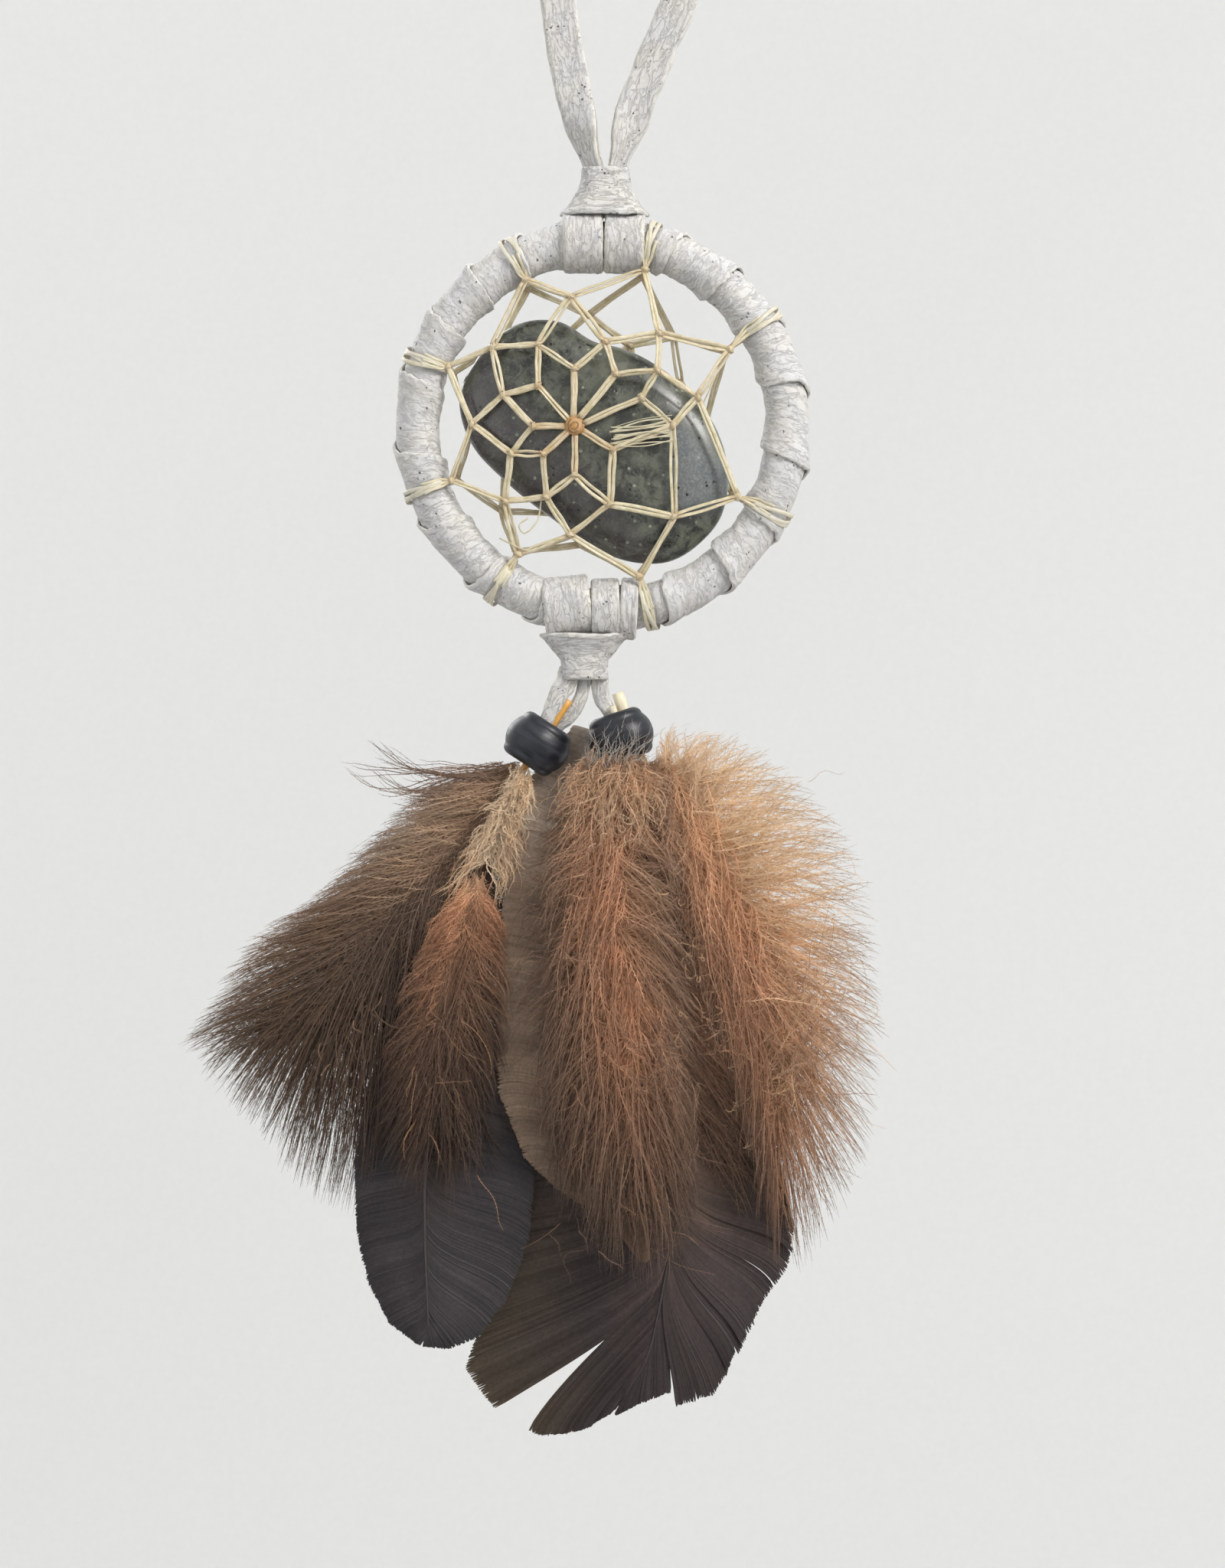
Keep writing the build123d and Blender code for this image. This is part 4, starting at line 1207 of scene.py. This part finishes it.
def vane(
    shape, rng, count, rachis, tips, y, runs, width=0.42, lead=0.3, droop=0.5, part=0.5, parts=7, wave=0.2,
):
    """A side of a flat vane: barbs lying side by side and hooked together, parted here and there."""
    stations = 18
    place = (np.arange(count) + 0.5) / count
    roots, ends = along_line(rachis, place), along_line(tips, place)
    step = 0.04
    ahead = unit(
        along_line(rachis, np.clip(place + step, 0, 1)) - along_line(rachis, np.clip(place - step, 0, 1))
    )
    group = np.searchsorted(np.sort(rng.random(parts)), place)
    shift = rng.normal(0, part, (parts + 1, 2))
    ends = ends + shift[group] + rng.normal(0, 0.07, (count, 2))
    flat, _ = bent_lines(roots, ends, ahead, stations, lead, droop, lean=0.5, hook=0.3)
    t = np.linspace(0, 1, stations)[None]
    lift = rng.normal(0, 0.3, parts + 1)[group][:, None]
    depth = y + wave * np.sin(3.0 * place[:, None] * TAU + 2 * t) * t + lift * t**1.5
    depth = depth + rng.normal(0, 0.02, (count, 1))
    paths = np.stack([flat[..., 0], depth, flat[..., 1]], -1)
    bands = 40  # of lighter and darker barbs
    streak = evenly_between(place, rng.normal(1, 0.12, (bands, 1)))[:, 0] * rng.normal(1, 0.08, count)
    colours = colours_over(runs, place, t[0]) * streak[:, None, None].clip(0.55, 1.6)
    gap = np.linalg.norm(np.diff(ends, axis=0, append=ends[-1:]), axis=1).mean()
    widths = (width + 0.3 * gap) * (1 - 0.25 * t) * np.where(t > 0.97, 0.35, 1.0) + 0 * place[:, None]
    turns = 0.22 + rng.normal(0, 0.07, (count, 1)) + 0 * t
    blades(shape, paths, widths, turns, colours)


def stray_hairs(shape, rng, places, count, length, colour, y, curl):
    """Single pale barbs that have come loose and curl over the rest."""
    stations = 18
    start = along_line(places, rng.random(count)) + rng.normal(0, 1.6, (count, 2))
    angle = rng.uniform(-2.9, -0.2, count)[:, None]
    t = np.linspace(0, 1, stations)[None]
    bend = rng.normal(0, 1.7 * curl, (count, 1))
    sway = rng.normal(0, 0.8 * curl, (count, 1))
    size = length * rng.uniform(0.4, 1.2, (count, 1))
    heading = angle + bend * t + sway * np.sin(TAU * t)
    x = start[:, :1] + np.cumsum(np.cos(heading), 1) * size / stations
    z = start[:, 1:] + np.cumsum(np.sin(heading), 1) * size / stations
    depth = rng.uniform(*y, (count, 1)) - 0.8 * np.sin(math.pi * t) * rng.random((count, 1))
    paths = np.stack([x, depth + 0 * x, z], -1)
    colours = np.zeros((count, stations, 3)) + tone(*colour) * rng.uniform(0.6, 1.15, (count, 1, 1))
    widths = 0.06 * (1 - t) ** 0.4 * rng.uniform(0.6, 1.1, (count, 1)) + 0.015
    turned = rng.normal(0, 0.5, (count, 1)) + 0 * t
    blades(shape, paths, widths, turned, colours, 0.35 + 0 * t + 0 * size, rng)


def shaft(feather, start, across, y, rachis, radii, material):
    """A quill from above the bead, through its bore and down the feather."""
    on_left = feather.startswith("left")
    centre, way = (left_bead_at, left_down) if on_left else (right_bead_at, right_down)
    sideways = np.array((-way[2], 0, way[0]))
    route = [centre + way * step + sideways * across + (0, y, 0) for step in (start, start / 3, 2.0, 5.0)]
    count = 90
    path = curve_through([*route, *in_plane(rachis, y)], count)
    radius = evenly_between(np.linspace(0, 1, count), np.array(radii)[:, None])[:, 0]
    shape = Shape()
    round_tube(shape, path, radius, radius * 0.85, sides=12)
    body = "left_pendant" if on_left else "right_pendant"
    shape.piece(f"{feather}_shaft", material, body, "quill", [f"{feather}_feather_quill"])


brown, tan, golden = "brown_down", "tan_down", "golden_down"
dark, cream = (74, 60, 52), (238, 212, 176)
charcoal, slate, umber = (53, 49, 52), (63, 59, 62), (78, 64, 55)

# left outer feather: a grey-brown plume swept down to the left
rachis = [
    (-11.6, -47.8), (-15.5, -52.8), (-20, -58), (-25.8, -64.3), (-31, -70), (-36.6, -76.5), (-41.5, -84),
]
rng = np.random.default_rng(21)
plume, fan = Shape(), Shape()
down(
    plume, rng, 1050, rachis,
    [(-25, -50), (-30, -54.5), (-34.8, -59.8), (-39, -64.4), (-44, -68), (-49.2, -71.6), (-53, -77.5),
     (-57.4, -85)],
    1.4, (-1.6, 4.2),
    [[(205, 172, 140), (190, 152, 120), (170, 138, 112), (120, 96, 80)],
     [(190, 150, 118), (190, 158, 124), (184, 156, 126), (112, 92, 78)],
     [(170, 136, 110), (156, 126, 100), (156, 126, 100), (122, 96, 76)],
     [(160, 128, 102), (132, 106, 84), (134, 106, 82), (116, 90, 70)],
     [(120, 100, 84), (112, 88, 70), (112, 88, 68), (96, 76, 60)]],
    bulge=0.8, droop=0.1, clumps=24, wave=0.5,
)
down(
    fan, rng, 1700, rachis,
    [(-17.5, -72), (-23, -84), (-28.5, -97), (-33.8, -109), (-38.8, -107.6), (-42.8, -103.8), (-47.2, -98),
     (-51.8, -93), (-55, -89.5), (-57.4, -85)],
    1.4, (-1.8, 3.6),
    [[(170, 136, 108), (150, 122, 98), (120, 96, 78), (96, 76, 62)],
     [(160, 128, 102), (126, 104, 88), (100, 79, 65), (80, 63, 52)],
     [(130, 106, 88), (100, 80, 66), (90, 70, 56), (70, 56, 46)],
     [(118, 96, 80), (96, 76, 60), (98, 77, 60), (88, 69, 54)],
     [(118, 96, 80), (106, 84, 66), (112, 88, 68), (100, 78, 61)]],
    bulge=1, droop=0.25, clumps=40, gather=0.3, wave=0.5, hold=0.8, width=0.16, fringe=1.9,
)
down(
    plume, rng, 70, [(-12, -47.2), (-14.5, -48.8)],
    [(-30.5, -43.6), (-36, -46.6), (-33.5, -48.9), (-29, -49.6), (-24, -50.2)], 1.2, (-2.4, 3.6),
    [[(150, 120, 98), (120, 92, 74), (96, 74, 62)], [(190, 156, 126), (176, 146, 120), (150, 124, 104)]],
    bulge=0, lead=0.1, droop=-0.5, reach=(0.4, 1.05), clumps=6, gather=0.8, wave=1.3, even=0.7, width=0.16,
    fringe=0.7, lift=1.1,
)
plume.piece("left_outer_plume", down_barbs, "left_pendant", brown, ["left_outer_feather_down"])
fan.piece("left_outer_fan", down_barbs, "left_pendant", brown)
shaft("left_outer", -4.3, 0.3, 1.2, rachis[1:], [0.45, 0.42, 0.3, 0.2, 0.1], dark_quill)

# left inner feather: cream stem, orange-tan fluff, and a charcoal vane below
rachis = [
    (-12, -49.5), (-14.7, -56.5), (-17.6, -62.5), (-20.4, -75), (-22.3, -88.8), (-24.1, -100),
    (-24.4, -109.9), (-23.9, -124.5),
]
rng = np.random.default_rng(22)
plume, stem_fluff, flat_vane = Shape(), Shape(), Shape()
for count, stem, tips in (
    (260, [(-10.9, -47.6), (-14.7, -56.5), (-17.2, -62.5)], [(-13.5, -50.5), (-18.5, -58.5), (-22.5, -66)]),
    (240, [(-10.6, -47.6), (-14.2, -56.5), (-16.8, -62.5)], [(-10.2, -52), (-11.5, -59), (-13.4, -66)]),
):
    down(
        stem_fluff, rng, count, stem, tips, -1.6, (-3.6, -0.8),
        [[cream, cream, (*cream, 0.9)], [cream, cream, (226, 178, 130)]],
        lead=0.4, droop=0.15, reach=(0.3, 1.1), clumps=14, gather=0.7, wave=0.7, even=0.8, fringe=0.7,
    )
for tips, y_tip, runs in (
    ([(-24.2, -70), (-27.2, -78.5), (-30, -87), (-31.5, -95.5), (-29, -102.5), (-26, -106)], (-4.4, -1.2),
     [[(228, 188, 146), (214, 156, 108), (200, 142, 98), (160, 116, 84)],
      [(210, 154, 108), (188, 132, 92), (140, 102, 76), (108, 80, 62)],
      [(166, 124, 92), (136, 100, 76), (106, 80, 62), dark],
      [(130, 100, 80), (106, 82, 66), (88, 68, 56), dark]]),
    ([(-13.2, -70), (-12.5, -79), (-13.5, -88), (-15.5, -96), (-18.5, -102), (-22, -106)], (-4.2, -1.2),
     [[(228, 188, 146), (210, 152, 106), (190, 134, 92), (140, 100, 72)],
      [(206, 150, 106), (168, 120, 86), (126, 94, 72), (92, 70, 56)],
      [(160, 120, 90), (128, 96, 74), (100, 76, 60), dark],
      [(124, 96, 78), (100, 78, 64), (86, 66, 56), dark]]),
):
    down(
        plume, rng, 800, rachis[2:6], tips, -1.6, y_tip, runs,
        bulge=0.9, lead=0.32, droop=0.3, clumps=20, wave=0.5, width=0.14,
    )
down(
    stem_fluff, rng, 520, [(-12.5, -53), *rachis[2:6]],
    [(-11, -60), (-9.6, -69), (-9.4, -79), (-10, -89), (-11, -98), (-14, -104)], -0.6, (-0.9, 1.2),
    [[(150, 126, 106), (126, 106, 92), (112, 94, 82)],
     [(128, 104, 88), (106, 86, 74), (90, 74, 64)],
     [(112, 90, 76), (90, 72, 62), dark]],
    bulge=0.2, droop=0.3, clumps=18, wave=0.4, hold=0.85, lift=1,
)
down(
    plume, rng, 220, [(-16.5, -64), (-21, -80), (-22.5, -90)],
    [(-27.5, -98), (-25.5, -107.5), (-21.5, -109.5), (-17, -107), (-14, -100)], -2.2, (-4.6, -2.4),
    [[(190, 140, 100), (150, 110, 82), (110, 84, 66), dark],
     [(160, 118, 88), (120, 90, 70), (92, 72, 58), dark]],
    bulge=0.8, lead=0.2, clumps=40, gather=0.3, wave=0.8, even=0.6, hold=1, scatter=1.6,
)
plume.piece("left_inner_plume", down_barbs, "left_pendant", tan, ["left_inner_feather_down"])
stem_fluff.piece("left_inner_stem_fluff", down_barbs, "left_pendant", tan)
shaft("left_inner", -7.4, 0.35, -0.5, rachis, [0.55, 0.5, 0.36, 0.26, 0.1], amber_quill)
for y, parted, parts, tips in (
    (-0.5, 0.05, 4,
     [(-28.5, -84), (-32.6, -91.5), (-33.9, -101.5), (-33.7, -110.5), (-32.2, -118), (-29.3, -123.4),
      (-25.2, -126.5)]),
    (-0.4, 0.08, 5,
     [(-13.5, -86), (-10.5, -94), (-9.2, -103), (-10.2, -112), (-13.2, -120), (-17, -125.2), (-21, -126.8),
      (-24.6, -126.5)]),
):
    vane(
        flat_vane, rng, 360, [(-21.2, -80), *rachis[4:]], tips, y,
        [[umber, umber, dark], [umber, charcoal, charcoal], [charcoal, slate, charcoal],
         [charcoal, slate, (*charcoal, 0.8)]],
        lead=0.34, part=parted, parts=parts, wave=0.25,
    )
flat_vane.piece("left_inner_barbs", vane_barbs, "left_pendant", "dark_vane", ["left_inner_feather_vane"])

# centre feather: tan and orange-brown fluff over a smooth grey-brown side
rachis = [
    (1.2, -48.5), (0, -56), (0, -64), (1.6, -74), (3, -84), (4.4, -94.1), (5.6, -104), (6.5, -114),
]
rng = np.random.default_rng(23)
grey = (150, 130, 112)
plume, smooth_side, front_barbs = Shape(), Shape(), Shape()
behind_beads, in_front = 4.9, -2.0  # the depths of the smooth side's top and of the rest
vane(
    smooth_side, rng, 460, [(-0.6, -41.5), (-0.4, -48.5), *rachis[1:]],
    [(-4.2, -41.5), (-8.6, -46.4), (-10.6, -49), (-11.4, -54), (-13.4, -63.5), (-14.4, -73), (-14.6, -82),
     (-14.2, -91.5), (-10.6, -100.5), (-6.4, -104.6), (-3.4, -106.5), (-0.5, -107.5)],
    behind_beads - (behind_beads - in_front) * smooth(np.linspace(0, 1, 460), 0.1, 0.19)[:, None],
    [[(206, 199, 190), (200, 190, 180), (190, 178, 166)], [grey, grey, grey],
     [grey, grey, (128, 110, 94)], [(140, 112, 90), (120, 98, 80), (104, 86, 72)]],
    width=0.5, lead=0.36, part=0.12, parts=8, wave=0.4,
)
for count, top, tips, y_tip, runs in (
    (780, (1, -46.4),
     [(-7, -51.5), (-8.6, -60), (-9.2, -69), (-9, -79), (-8.8, -89), (-7.6, -98), (-5.2, -106.5),
      (-2.2, -113), (2, -117.5)], (-6.6, -2.6),
     [[(222, 184, 146), (208, 166, 128), (190, 148, 112), (150, 120, 96)],
      [(206, 156, 112), (178, 130, 94), (150, 114, 88), (122, 98, 80)],
      [(192, 138, 98), (166, 118, 84), (136, 102, 78), (108, 86, 70)],
      [(178, 130, 98), (154, 116, 88), (128, 100, 80), (92, 74, 62)]]),
    (860, (1.4, -46.4),
     [(9.4, -48.5), (11.2, -56), (12.4, -66), (13, -76), (12.8, -87), (12.6, -98), (12.2, -106), (11.4, -113),
      (8, -118), (4, -118.5)], (-6.6, -2.2),
     [[(214, 176, 138), (204, 162, 124), (190, 150, 116), (166, 134, 108)],
      [(212, 162, 118), (192, 146, 108), (172, 134, 104), (146, 116, 94)],
      [(208, 152, 108), (192, 138, 98), (166, 124, 94), (132, 104, 84)],
      [(182, 132, 98), (160, 116, 88), (130, 100, 80), (92, 74, 62)]]),
):
    down(plume, rng, count, [top, *rachis[1:]], tips, -2.2, y_tip, runs, bulge=1.6, lead=0.34, droop=0.35)
down(
    front_barbs, rng, 330, [(0.4, -50), (0.6, -62), (2.2, -76), (4, -92)],
    [(-8, -84), (-6.5, -98), (-3, -109), (1.5, -116.5), (6.5, -117.5), (10, -108), (11.5, -94), (11, -80)],
    -3.6, (-7, -3.4),
    [[(216, 166, 122), (196, 144, 106), (164, 124, 94), (124, 98, 80)],
     [(222, 164, 116), (208, 148, 104), (168, 122, 90), (110, 88, 72)],
     [(218, 168, 124), (202, 154, 114), (170, 132, 104), (128, 104, 86)]],
    bulge=1.4, lead=0.12, clumps=60, gather=0.4, wave=1.3, even=0.7, hold=1, scatter=2.4, fringe=2.2,
)
down(
    front_barbs, rng, 300, [(-4, -88), (0, -94), (5, -96), (9, -92)],
    [(-8.5, -105), (-4.5, -111.5), (0, -117), (5.5, -119), (9.5, -116.5), (12, -108)], -2.8, (-5.4, -2.4),
    [[(150, 120, 98), (134, 106, 86), (110, 88, 72), dark],
     [(166, 128, 98), (142, 108, 84), (112, 88, 70), dark]],
    lead=0.1, clumps=50, gather=0.3, wave=0.9, even=0.6, hold=1, scatter=2.5,
)
down(
    front_barbs, rng, 260, [(-2.6, -46.6), (1, -46.2), (5, -46.4)],
    [(-9, -53), (-5.5, -57.5), (-0.5, -60.5), (4.5, -59.5), (9.5, -54.5)], -2.6, (-7.2, -4.4),
    [[(172, 136, 106), (196, 156, 118), (214, 178, 140)],
     [(186, 140, 102), (206, 164, 122), (222, 186, 148)]],
    bulge=1.8, lead=0.15, droop=0.3, gather=0.4, wave=1.1, even=0.9, hold=1, stations=16,
)
down(
    front_barbs, rng, 230, [(-1.6, -50), (-3, -62), (-3.4, -74), (-2.6, -90)],
    [(-9.6, -54), (-13.2, -66), (-14.6, -76), (-14.2, -87), (-10.5, -99), (-6.5, -106)], -2.6, (-4.2, -2.6),
    [[(176, 142, 114), (150, 122, 100), (124, 100, 84)], [(170, 128, 98), (138, 106, 84), (104, 82, 68)],
     [(164, 122, 94), (128, 98, 78), (98, 78, 64)]],
    droop=0.5, clumps=34, gather=0.5, wave=1, even=0.6, hold=1, scatter=1.4, fringe=1.2, lift=1.4,
)
plume.piece("centre_plume", down_barbs, "right_pendant", tan, ["centre_feather_down"])
front_barbs.piece("centre_front_barbs", down_barbs, "right_pendant", tan)
smooth_side.piece("centre_smooth_side", vane_barbs, "right_pendant", tan)
shaft("centre", -4.3, 0.2, -1.3, rachis[1:], [0.5, 0.44, 0.32, 0.24, 0.1], cream_quill)

# right feather: golden beige, browner below, darkest at its tips
rachis = [(6.4, -47), (10.6, -54), (15.1, -62.5), (19.4, -73), (22.4, -83.6), (23.6, -96), (23.8, -107.5)]
rng = np.random.default_rng(24)
plume, front_barbs = Shape(), Shape()
down(
    plume, rng, 1150, rachis,
    [(9.8, -41.2), (18.6, -42.4), (26, -47.5), (32, -53), (36.4, -60.5), (37.6, -68.5), (38.8, -78),
     (38.6, -87), (37.2, -96), (35, -104), (30.6, -110.5), (27, -117)],
    -0.4, (-3.8, 2.8),
    [[(214, 178, 140), (222, 188, 150), (226, 194, 154), (196, 168, 136)],
     [(222, 182, 138), (230, 194, 148), (228, 194, 150), (178, 148, 116)],
     [(222, 176, 128), (228, 186, 138), (224, 184, 138), (150, 116, 88)],
     [(206, 148, 100), (210, 162, 118), (206, 160, 118), (136, 104, 80)],
     [(190, 134, 92), (190, 138, 100), (172, 128, 94), (94, 74, 60)]],
    bulge=1.8, lead=0.28, clumps=30, gather=0.3,
)
down(
    plume, rng, 850, rachis,
    [(8.2, -52.5), (8.8, -60), (10.6, -69), (13.6, -79), (16.8, -89), (20, -99), (22, -108), (24.4, -117)],
    -0.4, (-5.6, 0.6),
    [[(206, 168, 132), (190, 152, 118), (170, 136, 110), (150, 126, 106)],
     [(226, 176, 128), (206, 156, 114), (180, 136, 104), (146, 118, 94)],
     [(218, 160, 110), (202, 144, 100), (172, 124, 90), (122, 94, 74)],
     [(196, 138, 94), (180, 128, 92), (150, 110, 84), (88, 70, 58)]],
    bulge=1.6, droop=0.35, gather=0.3,
)
down(
    front_barbs, rng, 330, [(8, -48), (12.6, -57), (17.5, -68), (21, -82), (22.5, -93)],
    [(17.5, -72), (19, -90), (22.5, -106), (26, -114.5), (31, -106), (34.5, -92), (35, -78), (31.5, -64)],
    -2.2, (-6.4, -2.2),
    [[(220, 172, 126), (214, 166, 120), (190, 140, 100), (140, 106, 82)],
     [(222, 164, 114), (206, 148, 106), (166, 120, 90), (104, 82, 66)],
     [(226, 186, 142), (228, 190, 146), (214, 176, 134), (150, 120, 94)]],
    bulge=1.2, lead=0.15, clumps=60, gather=0.4, wave=1.3, even=0.7, hold=1, scatter=2.4, fringe=2.2,
)
plume.piece("right_plume", down_barbs, "right_pendant", golden, ["right_feather_down"])
front_barbs.piece("right_front_barbs", down_barbs, "right_pendant", golden)
shaft("right", -5.8, 1.5, 0.0, rachis, [0.85, 0.6, 0.36, 0.22, 0.1], cream_quill)

# back feather: a broad dark vane, its end cut square and split into tongues
rachis = [(6.6, -73.1), (9.6, -88), (11.2, -99), (10.3, -108.2), (8.6, -117.6), (6.3, -127.8), (3.1, -133.4)]
rng = np.random.default_rng(25)
olive, plum, soot = (72, 63, 51), (74, 63, 63), (56, 49, 49)
mist, mauve = (152, 124, 108), (222, 178, 146)
left_vane, right_vane, dusk = Shape(), Shape(), Shape()
vane(
    left_vane, rng, 420, rachis[1:5],
    [(-4, -88), (-9.5, -97), (-13.4, -107), (-15.2, -117.5), (-17.4, -125.5), (-18.8, -129.8), (-17, -132.6),
     (-14.9, -135.2)],
    1.3, [[mist, umber, umber], [umber, plum, umber], [plum, soot, olive], [plum, soot, olive]],
    lead=0.2, droop=-0.1, part=0.12, parts=8,
)
vane(
    left_vane, rng, 230, [(8.5, -118), *rachis[5:]],
    [(-10, -138.3), (-8.9, -138.9), (-5.4, -138.8), (-1.6, -137.6), (1, -136), (2.6, -134.4)],
    1.2, [[soot, soot, olive], [plum, soot, soot], [plum, soot, soot]],
    lead=0.04, part=0.05, parts=3, wave=0.15,
)
vane(
    right_vane, rng, 120, [(8.9, -117.4), (6.6, -127.8), (3.4, -133.4)],
    [(9.3, -133.1), (7, -133.9), (4.2, -135.1), (1.8, -136.2)],
    1.35, [[plum, soot, soot], [soot, soot, soot]], droop=0.3, part=0.03, parts=2, wave=0.1,
)
vane(
    right_vane, rng, 420, rachis[1:5],
    [(19.5, -84), (22.5, -95), (25.2, -104.5), (26.6, -110.5), (25.4, -115.8), (22.4, -120.2), (20, -125),
     (17.4, -129.8), (15, -133.6), (12.4, -134.2), (9.9, -134.8)],
    1.25, [[mist, mist, mist], [mist, umber, plum], [umber, plum, soot], [plum, soot, soot]],
    lead=0.42, droop=0.7, part=0.13, parts=18,
)
for tips in (
    [(2, -66), (3.5, -80), (5, -94), (8.5, -103), (13, -110)],
    [(17, -60), (20, -74), (23, -88), (23.5, -100), (20, -110)],
):
    down(
        dusk, rng, 900, [(4, -49), (6.6, -60), (7.6, -73), (9.6, -88), (11, -97)], tips, 0.9, (-1.2, 2.6),
        [[(220, 182, 148), (206, 166, 134), (192, 154, 126)],
         [(208, 170, 142), mauve, (188, 148, 120)],
         [mauve, (192, 150, 120), (168, 128, 100)],
         [(170, 134, 108), (146, 114, 92), (108, 84, 70)]],
        bulge=0.4, lead=0.34, droop=0.35, clumps=30, hold=0.8, scatter=1.5, fringe=2,
    )
left_vane.piece("back_barbs_left", vane_barbs, "right_pendant", "dark_vane", ["back_feather_vane_left"])
dusk.piece("back_feather_fluff", down_barbs, "right_pendant", brown)
right_vane.piece("back_barbs_right", vane_barbs, "right_pendant", "dark_vane", ["back_feather_vane_right"])
shaft("back", -4.3, -0.5, 1.1, rachis, [0.42, 0.4, 0.34, 0.26, 0.12], dark_quill)

# loose hairs, each spot given as where, how many, how long, colour, depths and curl
rng = np.random.default_rng(26)
wisp, wisp_root = (214, 204, 194), (190, 170, 152)
left_hairs, right_hairs = Shape(), Shape()
for hairs, spots in (
    (left_hairs, (
        ([(-20, -72), (-24, -90), (-22, -104)], 14, 8, (180, 140, 108), (-5.2, -3.6), 0.45),
        ([(-12, -49), (-22, -50), (-30, -55)], 24, 8, (196, 164, 132), (-3, 2), 0.8),
        ([(-30, -75), (-40, -88)], 10, 6, (150, 124, 100), (-3.5, -2.2), 0.35),
    )),
    (right_hairs, (
        ([(-2, -49), (3, -52), (1, -56)], 40, 5, (232, 204, 172), (-8.4, -5.8), 1.3),
        ([(-6, -62), (-4, -90), (0, -104)], 16, 7, (200, 158, 120), (-7.6, -5.6), 0.45),
        ([(8, -56), (12, -70), (14, -84)], 26, 5, (214, 176, 140), (-7, -4.5), 1.1),
        ([(12, -44), (28, -54), (34, -76), (30, -100)], 22, 8, (226, 190, 150), (-6, -3), 0.5),
        ([(-8, -110), (6, -112), (12, -106)], 16, 9, (150, 120, 100), (-5, -2), 0.5),
    )),
):
    for spot in spots:
        stray_hairs(hairs, rng, *spot)
# wisps of down that rise over the lower half of the right bead
down(
    right_hairs, rng, 64, [(-2, -47.4), (2.5, -47.8), (7, -46.6)],
    [(-2.6, -42.6), (-0.6, -40.2), (2.2, -39.4), (5.2, -40.2), (8.4, -41.6)], -4.6, (-6.6, -4.4),
    [[wisp_root, wisp, wisp], [wisp_root, wisp, wisp]],
    bulge=0, lead=0.2, droop=0, reach=(0.35, 1.0), clumps=16, gather=0.3, wave=0.7, even=0.9, width=0.07,
    fringe=0.5, stations=16, lift=0.8,
)
left_hairs.piece("left_stray_hairs", down_barbs, "left_pendant", golden)
right_hairs.piece("right_stray_hairs", down_barbs, "right_pendant", golden)
